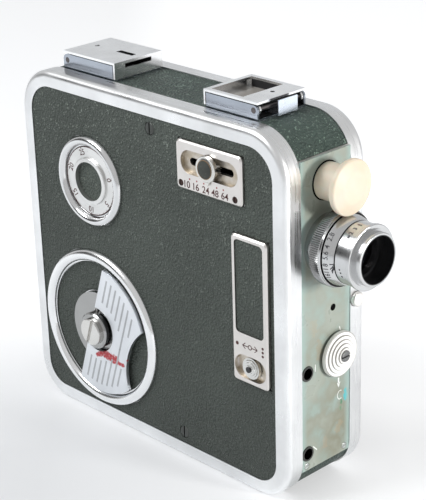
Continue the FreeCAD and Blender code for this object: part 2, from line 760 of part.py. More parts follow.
def make_dial_clip():
    """Collar that keeps the dial's arbor in the cover."""
    body = new_body("dial_clip", S.dial_x, 0.0, S.dial_z)
    start = DIAL_BACK - S.gap - S.dial_boss_t - S.gap
    turned(body, "Y", [(-start, S.dial_arbor_r), (-start, S.dial_arbor_r + 1.8),
                       (-start + 0.8, S.dial_arbor_r + 1.8), (-start + 0.8, S.dial_arbor_r)])
    return body


def make_arbor():
    """Winding arbor with the core that the mainspring hooks on."""
    body = new_body("winding_arbor", S.winder_x, 0.0, S.winder_z)
    near = COVER + S.gap
    core_near = S.drum_near - S.drum_wall - S.gap
    end = S.gear_near + S.gap
    turned(body, "Y", [(-near, 0.0), (-near, S.arbor_r), (-core_near, S.arbor_r), (-core_near, S.core_r),
                       (-end, S.core_r), (-end, 0.0)])
    return body


def make_hub():
    """Winder hub: base disc, raised segment behind the hinge, and boss."""
    body = new_body("winder_hub", S.winder_x, 0.0, S.winder_z, S.wing_turn)
    near = COVER + S.gap
    base_top = near + S.hub_base_t
    step_top = LEATHER + S.hub_step_proud
    boss_top = LEATHER + S.hub_boss_proud
    prism(body, "Y", -step_top, -near, ("circle", 0.0, 0.0, S.hub_base_r))
    edge = S.hinge_s - S.wing_rear - S.gap - S.seam
    cut(body, "Y", -step_top, -base_top, box(edge, -S.wing_r, S.wing_r, S.wing_r))
    prism(body, "Y", -boss_top, -near, ("circle", 0.0, 0.0, S.hub_boss_r))
    dress(body, "Chamfer", 0.5, at_level("Y", -boss_top))
    cut(body, "Z", -S.wing_r, S.wing_r, ("circle", S.hinge_s, -HINGE_Y, S.hinge_pin_r + S.running))
    return body


def make_hub_screw():
    """Big slotted screw in the middle of the winder."""
    body = new_body("winder_screw", S.winder_x, 0.0, S.winder_z, S.wing_turn)
    seat = LEATHER + S.hub_boss_proud
    top = LEATHER + S.hub_screw_proud
    turned(body, "Y", [(-top, 0.0), (-top, S.hub_screw_r, 0.45), (-seat, S.hub_screw_r), (-seat, 0.0)])
    across = S.hub_screw_r * 1.2
    cut(body, "Y", -top, -top + 0.9, box(-S.slot_w / 2, -across, S.slot_w / 2, across))
    return body


def make_wing_pin():
    """Hinge pin of the wing, through the boss."""
    body = new_body("wing_pin", S.winder_x, 0.0, S.winder_z, S.wing_turn)
    prism(body, "Z", -S.knuckle_to, S.knuckle_to, ("circle", S.hinge_s, -HINGE_Y, S.hinge_pin_r))
    return body


def grip_grooves():
    """Outlines of the wing's grip grooves, kept inside a ring-shaped field."""
    half = S.groove_w / 2
    shapes = []
    for number in range(7):
        middle = S.groove_first + S.groove_pitch * number
        far = side_left(S.groove_out, middle)
        if number == 5:
            shapes.append(box(middle - half, -far, middle + half, far))
            continue
        near = S.groove_notch if number == 6 else side_left(S.groove_in, middle)
        shapes.append(box(middle - half, near, middle + half, far))
        shapes.append(box(middle - half, -far, middle + half, -near))
    return shapes


def make_wing():
    """Fold-out ribbed half-round wing with its finger notch and two knuckles."""
    body = new_body("winder_wing", S.winder_x, 0.0, S.winder_z, S.wing_turn)
    low = -HINGE_Y - S.wing_t / 2
    high = -HINGE_Y + S.wing_t / 2
    prism(body, "Y", low, high, ("circle", 0.0, 0.0, S.wing_r))
    cut(body, "Y", low, high, box(-S.wing_r * 2, -S.wing_r * 2, S.hinge_s - S.wing_rear, S.wing_r * 2))
    cut(body, "Y", low, high, ("circle", S.notch_s + S.notch_r, 0.0, S.notch_r))
    cut(body, "Y", low, high, ("circle", 0.0, 0.0, S.wing_bore_r))
    cut(body, "Y", low, low + S.groove_deep, *grip_grooves())
    for start, end in ((S.knuckle_from, S.knuckle_to), (-S.knuckle_to, -S.knuckle_from)):
        prism(body, "Z", start, end, ("circle", S.hinge_s, -HINGE_Y, S.knuckle_r))
    cut(body, "Z", -S.wing_r, S.wing_r, ("circle", S.hinge_s, -HINGE_Y, S.hinge_pin_r + S.running))
    return body


def camera_outline(inset, corner_top=None, corner_base=None):
    """The camera's rounded side view, drawn in from the rims' outline."""
    half = S.body_length / 2 - inset
    top = S.corner_top - inset if corner_top is None else corner_top
    base = S.corner_base - inset if corner_base is None else corner_base
    return [(-half, inset, base), (half, inset, base),
            (half, S.body_height - inset, top), (-half, S.body_height - inset, top)]


def make_casting():
    """Band round the mechanism and film rooms, with the boss of the tripod bush."""
    body = new_body("body_casting")
    inner = S.band_set + S.casting_wall
    prism(body, "Y", -BAND, BAND, camera_outline(S.band_set))
    prism(body, "X", S.front_seat - S.casting_wall, S.front_seat,
          box(-BAND, S.front_z0, BAND, S.front_z1))
    cut(body, "Y", -BAND, BAND, camera_outline(inner))
    spigot = inner - S.lip_wall
    prism(body, "Y", -BAND - S.lip_reach, -BAND + S.lip_wall, camera_outline(spigot),
          camera_outline(inner))
    prism(body, "Y", BAND - S.lip_wall, BAND + S.lip_reach, camera_outline(spigot), camera_outline(inner))
    boss_top = S.bush_top - S.gap
    prism(body, "Z", S.band_set, boss_top, ("circle", 0.0, 0.0, S.boss_r))
    cut(body, "Z", 0.0, S.bush_top + S.gap, ("circle", 0.0, 0.0, S.bush_r + S.seam))
    inside = S.body_length / 2 - inner - S.gap
    cut(body, "X", LENS_BACK - S.gap, S.front_face, ("circle", 0.0, S.lens_z, S.lens_tube_r + S.seam))
    cut(body, "X", inside, S.front_face, ("circle", S.plug_y, S.plug_z, S.plug_stem_r + S.gap))
    for z in (S.socket_z1, S.socket_z2):
        cut(body, "X", SOCKET_BACK - S.gap, S.front_face, ("circle", S.socket_y, z, S.socket_r + S.seam))
    middle = S.release_z + (S.release_up - S.release_down) / 2
    reach = (S.release_up + S.release_down) / 2
    low = middle - reach - S.release_slot_r
    high = middle + reach + S.release_slot_r
    left = S.release_y - S.release_slot_r
    right = S.release_y + S.release_slot_r
    cut(body, "X", inside, S.front_face, box(left, low, right, high, S.release_slot_r * 0.9))
    return body


def make_mechanism_plate():
    """Plate between the mechanism and the film, with the holes for what passes through it."""
    body = new_body("mechanism_plate")
    near = -S.partition_near
    far = -S.partition_far
    prism(body, "Y", near, far, camera_outline(S.band_set + S.casting_wall + S.seam))
    cut(body, "Z", 0.0, S.bush_top, ("circle", 0.0, 0.0, S.boss_r + S.seam))
    cut(body, "X", LENS_BACK - S.gap, S.front_face, ("circle", 0.0, S.lens_z, S.lens_tube_r + S.seam))
    for z in (S.socket_z1, S.socket_z2):
        cut(body, "X", SOCKET_BACK - S.gap, S.front_face, ("circle", S.socket_y, z, S.socket_r + S.seam))
    cut(body, "Y", near - S.gap, far + S.gap, ("circle", S.winder_x, S.winder_z, SLEEVE_R + S.running))
    cut(body, "Y", near - S.gap, far + S.gap,
        box(GATE_FRONT, S.blade_z0 - S.claw_stroke - 1.0, CLAW_X1 + S.gap, S.blade_z1 + S.gap))
    return body


def make_posts():
    """Riveted posts on the plate: two for the gears, one for the feed spool, two under the cover screws."""
    body = new_body("mechanism_posts")
    near = -S.partition_near
    for x, z in ((S.cover_screw_x1, S.cover_screw_z1), (S.cover_screw_x2, S.cover_screw_z2)):
        prism(body, "Y", -ROOM + S.seam, near, ("circle", x, z, S.cover_screw_r + 1.4))
    prism(body, "Y", -S.gear_near - 0.6, near, ("circle", TRAIN_X, TRAIN_Z, S.post_r))
    prism(body, "Y", -S.gear_near + 1.9, near, ("circle", CRANK_X, CRANK_Z, S.post_r))
    prism(body, "Y", -S.partition_far, S.film_w * 0.7, ("circle", S.dial_x, S.dial_z, S.post_r))
    return body


def make_side_cover():
    """Winder side cover: face, deep rounded rim, dial pocket and winder dish."""
    body = new_body("side_cover")
    face = S.body_width / 2
    prism(body, "Y", -face, -BAND, camera_outline(0.0))
    dress(body, "Fillet", S.rim_round, at_level("Y", -face))
    skirt = S.band_set + S.casting_wall - S.lip_wall - S.lip_fit
    cut(body, "Y", -ROOM, -BAND, camera_outline(skirt))
    cut(body, "Y", -face, -COVER, camera_outline(S.rim_face, S.panel_corner_top, S.panel_corner_base))
    pocket = DIAL_BACK - S.gap
    prism(body, "Y", -ROOM, -pocket + S.dial_boss_t, ("circle", S.dial_x, S.dial_z, S.bezel_bore + 1.5))
    cut(body, "Y", -COVER, -pocket, ("circle", S.dial_x, S.dial_z, S.bezel_bore))
    cut(body, "Y", -COVER, -BAND, ("circle", S.dial_x, S.dial_z, S.dial_arbor_r + S.running))
    cut(body, "Y", -COVER, -BAND, ("circle", S.winder_x, S.winder_z, S.arbor_r + S.running))
    for x, z in ((S.cover_screw_x1, S.cover_screw_z1), (S.cover_screw_x2, S.cover_screw_z2)):
        cut(body, "Y", -COVER, -ROOM, ("circle", x, z, S.cover_screw_r * 0.6))
    for x, z, reach, radius in KNOB_SLOTS:
        cut(body, "Y", -COVER, -ROOM, ("slot", x, z, reach + S.seam, radius + S.seam))
    return body


def plate(body, low, high, x0, z0, x1, z1):
    """A bevelled plate with rounded corners on the winder side."""
    prism(body, "Y", low, high, box(x0, z0, x1, z1, S.plate_corner))
    dress(body, "Chamfer", S.plate_bevel, at_level("Y", low))


def make_speed_plate():
    """Speed plate with its round-ended window, narrow slot and two screw holes."""
    body = new_body("speed_plate")
    top = LEATHER + S.speed_t
    plate(body, -top, -COVER, S.speed_x - S.speed_l / 2, S.speed_z - S.speed_h / 2,
          S.speed_x + S.speed_l / 2, S.speed_z + S.speed_h / 2)
    cut(body, "Y", -top, -COVER - 0.5,
        ("slot", S.speed_slot_x, S.speed_slot_z, S.speed_slot_reach, S.speed_slot_r))
    cut(body, "Y", -top, -COVER,
        ("slot", S.speed_slot_x, S.speed_slot_z, S.speed_travel + S.seam, S.stem_r + S.seam))
    for x in SPEED_SCREWS:
        cut(body, "Y", -top, -COVER - 0.5, ("circle", x, SPEED_SCREW_Z, S.small_screw_r + S.seam))
    return body


def make_speed_screws():
    """Two small screws of the speed plate."""
    top = LEATHER + S.speed_t + S.seam
    return group("speed_plate_screws", [
        slotted_screw("speed_screw_%d" % number, x, SPEED_SCREW_Z, S.small_screw_r, COVER + 0.9, top,
                      S.small_screw_r * 0.6, COVER + 0.5)
        for number, x in enumerate(SPEED_SCREWS, start=1)])


def sliding_knob(body, seat, cap_r, cap_t, grip):
    """Turned cap on a stem that runs in the cover's slot, with a collar behind the cover."""
    top = seat + cap_t
    inside = ROOM - S.gap
    turned(body, "Y", [(-top, 0.0), (-top, cap_r * 0.62), (-top + grip, cap_r * 0.86),
                       (-top + grip, cap_r, 0.2),
                       (-seat, cap_r), (-seat, S.stem_r), (-inside, S.stem_r), (-inside, S.stem_r * 2),
                       (-inside + S.yoke_t, S.stem_r * 2), (-inside + S.yoke_t, 0.0)])


def make_speed_knob():
    """Speed knob with its pointer."""
    body = new_body("speed_knob", S.speed_slot_x, 0.0, S.speed_slot_z)
    seat = LEATHER + S.speed_t + S.gap
    sliding_knob(body, seat, S.speed_knob_r, S.speed_knob_t, 0.3)
    prism(body, "Y", -seat - 0.5, -seat, [(-1.1, -S.speed_knob_r * 0.9), (0.0, -S.speed_knob_r * 1.35),
                                          (1.1, -S.speed_knob_r * 0.9)])
    return body


def make_mode_plate():
    """Long plate: grained window above, round-ended switch slot below."""
    body = new_body("mode_plate")
    top = LEATHER + S.mode_t
    plate(body, -top, -COVER, S.mode_x - S.mode_w / 2, S.mode_z0, S.mode_x + S.mode_w / 2, S.mode_z1)
    cut(body, "Y", -top, -top + S.mode_t * 0.6,
        box(S.mode_inlay_x0, S.mode_inlay_z0, S.mode_inlay_x1, S.mode_inlay_z1, S.plate_corner))
    cut(body, "Y", -top, -COVER - 0.5, ("slot", S.mode_x, S.mode_slot_z, S.mode_slot_reach,
                                        S.mode_slot_r))
    cut(body, "Y", -top, -COVER,
        ("slot", S.mode_x, S.mode_slot_z, S.mode_travel + S.seam, S.stem_r + S.seam))
    return body


def make_mode_inlay():
    """Grained inlay of the long plate."""
    body = new_body("mode_inlay")
    floor = LEATHER + S.mode_t * 0.4
    prism(body, "Y", -floor - S.inlay_t, -floor,
          box(S.mode_inlay_x0 + S.seam, S.mode_inlay_z0 + S.seam, S.mode_inlay_x1 - S.seam,
              S.mode_inlay_z1 - S.seam, S.plate_corner))
    return body


def make_mode_knob():
    """Sliding switch: dished knob with turned steps."""
    body = new_body("mode_knob", S.mode_x, 0.0, S.mode_slot_z)
    seat = COVER + 0.5 + S.gap
    top = LEATHER + S.mode_t + 0.7
    r = S.mode_knob_r
    inside = ROOM - S.gap
    turned(body, "Y", [(-top, 0.0), (-top, r * 0.38), (-top + 0.25, r * 0.42), (-top + 0.25, r * 0.6),
                       (-top + 0.55, r * 0.64), (-top + 0.55, r * 0.8), (-top + 0.9, r * 0.84),
                       (-top + 0.9, r),
                       (-seat, r), (-seat, S.stem_r), (-inside, S.stem_r), (-inside, S.stem_r * 2),
                       (-inside + S.yoke_t, S.stem_r * 2), (-inside + S.yoke_t, 0.0)])
    return body


def make_mode_screw():
    """Dark slotted screw in the sliding switch."""
    seat = LEATHER + S.mode_t + 0.7
    body = new_body("mode_screw", S.mode_x, 0.0, S.mode_slot_z)
    turned(body, "Y", [(-seat - 0.4, 0.0), (-seat - 0.4, S.small_screw_r, 0.15), (-seat, S.small_screw_r),
                       (-seat, 0.0)])
    return body


def make_front_plate():
    """Front plate with its openings."""
    body = new_body("front_plate")
    half = BAND - S.seam
    prism(body, "X", S.front_seat, S.front_face, box(-half, S.front_z0, half, S.front_z1))
    cut(body, "X", S.front_seat, S.front_face, ("circle", 0.0, S.lens_z, S.lens_tube_r + S.seam))
    cut(body, "X", S.front_seat, S.front_face, ("circle", S.plug_y, S.plug_z, S.plug_stem_r + S.running))
    for z in (S.socket_z1, S.socket_z2):
        cut(body, "X", S.front_seat, S.front_face, ("circle", S.socket_y, z, S.socket_r + S.seam))
    for y, z in FRONT_SCREWS:
        cut(body, "X", S.front_seat + 0.2, S.front_face, ("circle", y, z, S.small_screw_r + S.seam))
    cut(body, "X", S.front_seat + 0.1, S.front_face, ("circle", S.spare_y, S.spare_z, S.small_screw_r * 0.85))
    low = S.release_z - S.release_down - S.release_slot_r
    high = S.release_z + S.release_up + S.release_slot_r
    cut(body, "X", S.front_seat, S.front_face,
        box(S.release_y - S.release_slot_r, low, S.release_y + S.release_slot_r, high,
            S.release_slot_r * 0.9))
    return body


def front_screw(name, y, z, seat, radius, proud):
    """Slotted screw along +X, its slot along Y."""
    body = new_body(name, 0.0, y, z)
    turned(body, "X", [(seat, 0.0), (proud, 0.0), (proud, radius, radius * 0.2), (seat, radius)])
    cut(body, "X", proud - radius * 0.3, proud, box(-radius * 1.2, -radius * 0.15, radius * 1.2,
                                                    radius * 0.15))
    return body


def make_front_screws():
    """Two small screws of the front plate."""
    return group("front_plate_screws", [
        front_screw("front_screw_%d" % number, y, z, S.front_seat + 0.2, S.small_screw_r,
                    S.front_face + S.seam)
        for number, (y, z) in enumerate(FRONT_SCREWS, start=1)])


def make_sockets():
    """Two threaded cable sockets."""
    made = []
    for number, z in enumerate((S.socket_z1, S.socket_z2), start=1):
        body = new_body("cable_socket_%d" % number, 0.0, S.socket_y, z)
        bottom = SOCKET_FRONT - S.socket_deep
        turned(body, "X", [(SOCKET_BACK, 0.0), (bottom, 0.0), (bottom, S.socket_bore),
                           (SOCKET_FRONT, S.socket_bore),
                           (SOCKET_FRONT, S.socket_r), (SOCKET_BACK, S.socket_r)])
        made.append(body)
    return group("cable_sockets", made)


def make_release():
    """Stepped release disc."""
    body = new_body("release_disc", 0.0, S.release_y, S.release_z)
    r = S.release_r
    back = S.front_face - 3.4
    stem = S.release_slot_r - S.seam
    turned(body, "X", [(back, 0.0), (S.release_x1, 0.0), (S.release_x1, r * 0.34),
                       (S.release_x1 - 0.35, r * 0.36),
                       (S.release_x1 - 0.35, r * 0.5), (S.release_x1 - 0.75, r * 0.52),
                       (S.release_x1 - 0.75, r * 0.66),
                       (S.release_x1 - 1.15, r * 0.68), (S.release_x1 - 1.15, r * 0.8),
                       (S.release_x1 - 1.6, r * 0.83), (S.release_x1 - 1.6, r, 0.3), (S.release_x0, r),
                       (S.release_x0, stem), (back, stem)])
    return body


def make_release_screw():
    """Slotted screw of the release."""
    return front_screw("release_screw", S.release_y, S.release_z, S.release_x1, S.small_screw_r * 1.9,
                       S.release_x1 + 0.6)


def make_release_slide():
    """Bar behind the front wall that the release moves."""
    body = new_body("release_slide", 0.0, S.release_y, S.release_z)
    wall = S.front_seat - S.casting_wall
    start = wall - S.gap - S.yoke_t
    prism(body, "X", start, wall - S.gap, box(-S.release_slot_r * 1.8, -8.0, S.release_slot_r * 1.8, 8.0,
                                              1.0))
    cut(body, "X", start, wall - S.gap, ("circle", 0.0, 0.0, S.release_slot_r - S.seam))
    return body


def make_lens():
    """Fixed lens barrel: seat, tube, front ring and hood, stepped inside."""
    body = new_body("lens_barrel", 0.0, 0.0, S.lens_z)
    turned(body, "X", [
        (LENS_BACK, S.glass_r - 0.8), (LENS_BACK, S.lens_tube_r), (S.front_face, S.lens_tube_r),
        (S.front_face, S.lens_seat_r), (S.knurl_x0 - S.gap, S.lens_seat_r),
        (S.knurl_x0 - S.gap, S.lens_tube_r),
        (S.barrel_x0, S.lens_tube_r), (S.barrel_x0, S.barrel_r, 0.2), (S.barrel_x1, S.barrel_r),
        (S.barrel_x1, S.barrel_r + 0.4, 0.2), (S.barrel_x1 + 1.2, S.barrel_r + 0.4, 0.3),
        (S.barrel_x1 + 1.2, S.hood_r + 0.5), (S.hood_x0, S.hood_r + 0.5), (S.hood_x0, S.hood_r),
        (S.hood_x1, S.hood_r, 0.4), (S.hood_x1, S.mouth_r), (S.barrel_x0 + 2.6, S.mouth_r),
        (S.barrel_x0 + 2.6, S.glass_r + S.running), (S.barrel_x0 - 2.0, S.glass_r + S.running),
        (S.barrel_x0 - 2.0, S.glass_r - 1.0), (IRIS_X, S.glass_r - 1.0), (IRIS_X, S.glass_r - 2.0),
        (S.front_seat - 1.5, S.glass_r - 2.0), (S.front_seat - 1.5, S.glass_r - 0.8)])
    return body


def make_front_lens():
    """Front glass, domed towards the mouth."""
    body = new_body("front_lens", 0.0, 0.0, S.lens_z)
    seat = S.barrel_x0 - 2.0
    turned(body, "X", [(seat, 0.0), (seat + 3.4, 0.0), (seat + 3.3, S.glass_r * 0.45),
                       (seat + 2.9, S.glass_r * 0.8),
                       (seat + 2.4, S.glass_r), (seat, S.glass_r)])
    return body


def make_rear_lens():
    """Rear glass."""
    body = new_body("rear_lens", 0.0, 0.0, S.lens_z)
    seat = S.front_seat - 1.5
    radius = S.glass_r - 0.8 - S.running
    turned(body, "X", [(seat - 3.2, 0.0), (seat, 0.0), (seat, radius), (seat - 2.4, radius),
                       (seat - 3.0, radius * 0.6)])
    return body


def make_iris():
    """Stop plate."""
    body = new_body("iris_plate", 0.0, 0.0, S.lens_z)
    turned(body, "X", [(IRIS_X, S.iris_r), (IRIS_X + 0.4, S.iris_r),
                       (IRIS_X + 0.4, S.glass_r - 1.0 - S.running),
                       (IRIS_X, S.glass_r - 1.0 - S.running)])
    return body


def make_aperture_ring():
    """Knurled ring with the number cone in front."""
    body = new_body("aperture_ring", 0.0, 0.0, S.lens_z)
    bore = S.lens_tube_r + S.running
    turned(body, "X", [(S.knurl_x0, bore), (S.knurl_x0, S.knurl_r, 0.3), (S.knurl_x1, S.knurl_r, 0.2),
                       (S.knurl_x1, S.knurl_r - 0.4), (S.knurl_x1 + 0.5, S.knurl_r - 0.4),
                       (S.knurl_x1 + 0.5, S.scale_r0 + 0.1), (S.knurl_x1 + 0.9, S.scale_r0),
                       (S.scale_x1, S.scale_r1), (S.scale_x1, bore)])
    flute = cut(body, "X", S.knurl_x0, S.knurl_x1, ("circle", S.knurl_r + 0.25, 0.0, 0.55))
    around(body, flute, "X", S.knurl_count)
    return body


def make_plug():
    """Round plug pressed into the socket above the lens."""
    body = new_body("plug", 0.0, S.plug_y, S.plug_z)
    start = S.front_face + S.gap
    turned(body, "X", [(S.front_seat - 2.0, 0.0), (S.plug_top_x, 0.0),
                       (S.plug_top_x, S.plug_r * 0.55, 4.0),
                       (S.plug_top_x - 1.0, S.plug_r, 0.8), (S.plug_head_x, S.plug_r, 0.5),
                       (S.plug_head_x, S.plug_neck_r), (start, S.plug_neck_r), (start, S.plug_stem_r),
                       (S.front_seat - 2.0, S.plug_stem_r)])
    return body


def make_bush():
    """Tripod bush: flange under the casting, threaded bore."""
    body = new_body("tripod_bush")
    low = S.band_set - S.bush_flange_t
    turned(body, "Z", [(low, S.bush_bore), (low, S.bush_flange_r), (S.band_set, S.bush_flange_r),
                       (S.band_set, S.bush_r), (S.bush_top, S.bush_r), (S.bush_top, S.bush_bore)])
    return body


def finder_walls(body, x_free, pin_x, pin_z, top):
    """Floor and two side walls of a finder's base, rounded round the pin."""
    wall_top = top - S.finder_wall - S.gap
    ear = wall_top - pin_z
    x_hinge = pin_x - ear if pin_x < x_free else pin_x + ear
    low_x, high_x = (x_hinge, x_free) if pin_x < x_free else (x_free, x_hinge)
    prism(body, "Z", TOP, TOP + S.finder_wall, box(low_x, -S.finder_y, high_x, S.finder_y))
    for start, end in ((-S.finder_y, -S.finder_y + S.finder_wall),
                       (S.finder_y - S.finder_wall, S.finder_y)):
        corners = [(low_x, TOP), (high_x, TOP), (high_x, wall_top), (low_x, wall_top)]
        corners[3 if pin_x < x_free else 2] += (ear * 0.95,)
        prism(body, "Y", start, end, corners)
    cut(body, "Y", -S.finder_y, S.finder_y, ("circle", pin_x, pin_z, S.pin_r + S.seam / 2))


def finder_ears(body, pin_x, pin_z, top, reach):
    """Two hinge ears under a finder's top plate."""
    outer = S.finder_y - S.finder_wall - S.gap
    ear = S.pin_r + S.finder_wall
    for start, end in ((-outer, -outer + S.finder_wall), (outer - S.finder_wall, outer)):
        prism(body, "Y", start, end, ("circle", pin_x, pin_z, ear))
        prism(body, "Y", start, end, box(pin_x, pin_z - ear, reach, top) if reach > pin_x
              else box(reach, pin_z - ear, pin_x, top))
    cut(body, "Y", -S.finder_y, S.finder_y, ("circle", pin_x, pin_z, S.pin_r + S.running))


def make_rear_base():
    """Fixed channel of the rear finder."""
    body = new_body("rear_finder_base")
    finder_walls(body, S.rear_x1 - S.finder_wall - S.gap, S.rear_pin_x, S.rear_pin_z, S.rear_top)
    return body


def make_rear_cover():
    """Flip-up cover of the rear finder: slotted top, notched end flange, hinge ears."""
    body = new_body("rear_finder_cover")
    under = S.rear_top - S.finder_wall
    back = S.rear_pin_x - (under - S.gap - S.rear_pin_z)
    prism(body, "Z", under, S.rear_top, box(back, -S.finder_y, S.rear_x1, S.finder_y))
    prism(body, "X", S.rear_x1 - S.finder_wall, S.rear_x1,
          box(-S.finder_y, TOP + S.gap * 2, S.finder_y, S.rear_top))
    finder_ears(body, S.rear_pin_x, S.rear_pin_z, S.rear_top, S.rear_x1)
    cut(body, "X", S.rear_x1 - S.finder_wall, S.rear_x1, box(-5.8, S.rear_top - 2.3, 5.5, under - 0.2))
    cut(body, "Z", under, S.rear_top, box(S.rear_x1 - 10.6, -0.3, S.rear_x1 - 2.9, 0.5))
    cut(body, "Z", under, S.rear_top, ("circle", S.rear_pin_x + 2.4, 0.7, 0.8))
    return body


def finder_pin(name, x, z):
    """Hinge pin of a finder."""
    body = new_body(name)
    prism(body, "Y", -S.finder_y, S.finder_y, ("circle", x, z, S.pin_r))
    return body


def make_rear_pin():
    """Hinge pin of the rear finder."""
    return finder_pin("rear_finder_pin", S.rear_pin_x, S.rear_pin_z)


def make_fore_pin():
    """Hinge pin of the front finder."""
    return finder_pin("front_finder_pin", S.fore_pin_x, S.fore_pin_z)


def make_fore_base():
    """Fixed channel of the front finder with its open front end."""
    body = new_body("front_finder_base")
    finder_walls(body, S.fore_x0 + S.finder_wall + S.gap, S.fore_pin_x, S.fore_pin_z, S.fore_top)
    return body


def make_fore_spring():
    """Bent leaf spring at the front finder's hinge end."""
    body = new_body("front_finder_spring")
    t = S.finder_wall * 0.6
    floor = TOP + S.finder_wall
    prism(body, "Y", -3.5, 4.7, [(S.fore_pin_x - 3.0, floor), (S.fore_x1, floor),
                                 (S.fore_x1, S.fore_top - 0.5),
                                 (S.fore_x1 - t, S.fore_top - 0.5), (S.fore_x1 - t, floor + t),
                                 (S.fore_pin_x - 3.0, floor + t)])
    return body


def make_fore_frame():
    """Flip-up frame of the front finder with its window."""
    body = new_body("front_finder_frame")
    under = S.fore_top - S.finder_wall
    front = S.fore_pin_x + (under - S.gap - S.fore_pin_z)
    bar = TOP + S.gap * 3
    prism(body, "Z", under, S.fore_top, box(S.fore_x0, -S.finder_y, front, S.finder_y))
    prism(body, "X", S.fore_x0, S.fore_x0 + S.finder_wall, box(-S.finder_y, bar, S.finder_y, S.fore_top))
    finder_ears(body, S.fore_pin_x, S.fore_pin_z, S.fore_top, S.fore_x0)
    side = S.finder_y - S.finder_wall - S.gap - S.finder_wall
    cut(body, "Z", under, S.fore_top, box(S.fore_x0 + 1.7, -side, WINDOW_X, side))
    cut(body, "Z", under, S.fore_top, ("circle", S.fore_pin_x - 3.1, 1.0, 0.7))
    prism(body, "X", WINDOW_X, WINDOW_X + S.finder_wall, box(-side, GLASS_Z, side, S.fore_top))
    return body


def make_fore_glass():
    """Glass of the front finder frame."""
    body = new_body("front_finder_glass")
    side = S.finder_y - S.finder_wall * 2 - S.gap
    prism(body, "Z", GLASS_Z, GLASS_Z + 0.9, box(S.fore_x0 + S.finder_wall, -side, WINDOW_X, side))
    return body


def make_door():
    """Film door: face, deep rounded rim, seat for the latch button."""
    body = new_body("film_door")
    face = S.body_width / 2
    prism(body, "Y", BAND, face, camera_outline(0.0))
    dress(body, "Fillet", S.rim_round, at_level("Y", face))
    skirt = S.band_set + S.casting_wall - S.lip_wall - S.lip_fit
    cut(body, "Y", BAND, ROOM, camera_outline(skirt))
    cut(body, "Y", COVER, face, camera_outline(S.rim_face, S.panel_corner_top, S.panel_corner_base))
    outside = S.body_length / 2
    cut(body, "X", LATCH_SEAT, outside, ("circle", S.latch_y, S.latch_z, S.latch_r + S.seam * 2))
    cut(body, "X", outside - S.casting_wall * 1.2, outside, ("circle", S.latch_y, S.latch_z,
                                                             S.latch_r * 0.4 + S.running))
    return body


def make_door_leather():
    """Grained covering of the film door."""
    body = new_body("door_leather")
    fit = S.rim_face + S.seam
    prism(body, "Y", COVER, LEATHER,
          camera_outline(fit, S.panel_corner_top - S.seam, S.panel_corner_base - S.seam))
    return body


def make_latch():
    """Round latch button of the film door."""
    body = new_body("door_button", 0.0, S.latch_y, S.latch_z)
    start = LATCH_SEAT + S.latch_travel + S.gap
    turned(body, "X", [(LATCH_SEAT - S.gap, 0.0), (S.latch_top, 0.0), (S.latch_top, S.latch_r, 0.5),
                       (start, S.latch_r), (start, S.latch_r * 0.4),
                       (LATCH_SEAT - S.gap, S.latch_r * 0.4)])
    return body


def teeth(body, pitch, low, high, count):
    """Straight-flanked teeth round a wheel, the first on the body's X axis."""
    root_r = pitch - S.module * 1.1
    tip_r = pitch + S.module * 0.8
    step = S.module * math.pi
    tooth = prism(body, "Y", low, high, [
        (root_r - S.module * 0.3, -step * 0.25), (root_r, -step * 0.25), (pitch, -step * 0.18),
        (tip_r, -step * 0.09), (tip_r, step * 0.09), (pitch, step * 0.18), (root_r, step * 0.25),
        (root_r - S.module * 0.3, step * 0.25)])
    around(body, tooth, "Y", count)


def root_of(pitch):
    """Root radius of a wheel."""
    return pitch - S.module * 1.1


def make_barrel():
    """Spring barrel: drum, toothed rim and the sleeve through the partition."""
    body = new_body("spring_barrel", S.winder_x, 0.0, S.winder_z, -S.train_angle)
    bore = S.arbor_r + S.running
    inner = S.drum_r - S.drum_wall
    thrust = S.partition_near + S.gap
    turned(body, "Y", [(-S.drum_near, bore), (-S.drum_near, S.drum_r), (-S.gear_near, S.drum_r),
                       (-S.gear_near, root_of(PITCH_BARREL)), (-S.gear_far, root_of(PITCH_BARREL)),
                       (-S.gear_far, SLEEVE_R + 2.0), (-thrust, SLEEVE_R + 2.0), (-thrust, SLEEVE_R),
                       (-1.0, SLEEVE_R), (-1.0, 0.0), (-S.gear_near, 0.0), (-S.gear_near, inner),
                       (-S.drum_near + S.drum_wall, inner), (-S.drum_near + S.drum_wall, bore)])
    teeth(body, PITCH_BARREL, -S.gear_near, -S.gear_far, S.barrel_teeth)
    return body


def make_train_wheel():
    """Train wheel: pinion on the barrel's teeth and a pierced wheel below it."""
    body = new_body("train_wheel", TRAIN_X, 0.0, TRAIN_Z, -TRAIN_TURN)
    bore = S.post_r + S.running
    pinion = root_of(PITCH_PINION)
    turned(body, "Y", [(-S.gear_near, bore), (-S.gear_near, pinion), (-S.wheel_near, pinion),
                       (-S.wheel_near, root_of(PITCH_WHEEL)), (-S.wheel_far, root_of(PITCH_WHEEL)),
                       (-S.wheel_far, bore)])
    hole = cut(body, "Y", -S.wheel_near, -S.wheel_far, ("circle", PITCH_WHEEL * 0.58, 0.0,
                                                        PITCH_WHEEL * 0.19))
    around(body, hole, "Y", 5)
    teeth(body, PITCH_WHEEL, -S.wheel_near, -S.wheel_far, S.wheel_teeth)
    teeth(body, PITCH_PINION, -S.gear_near, -S.gear_far, S.pinion_teeth)
    return body


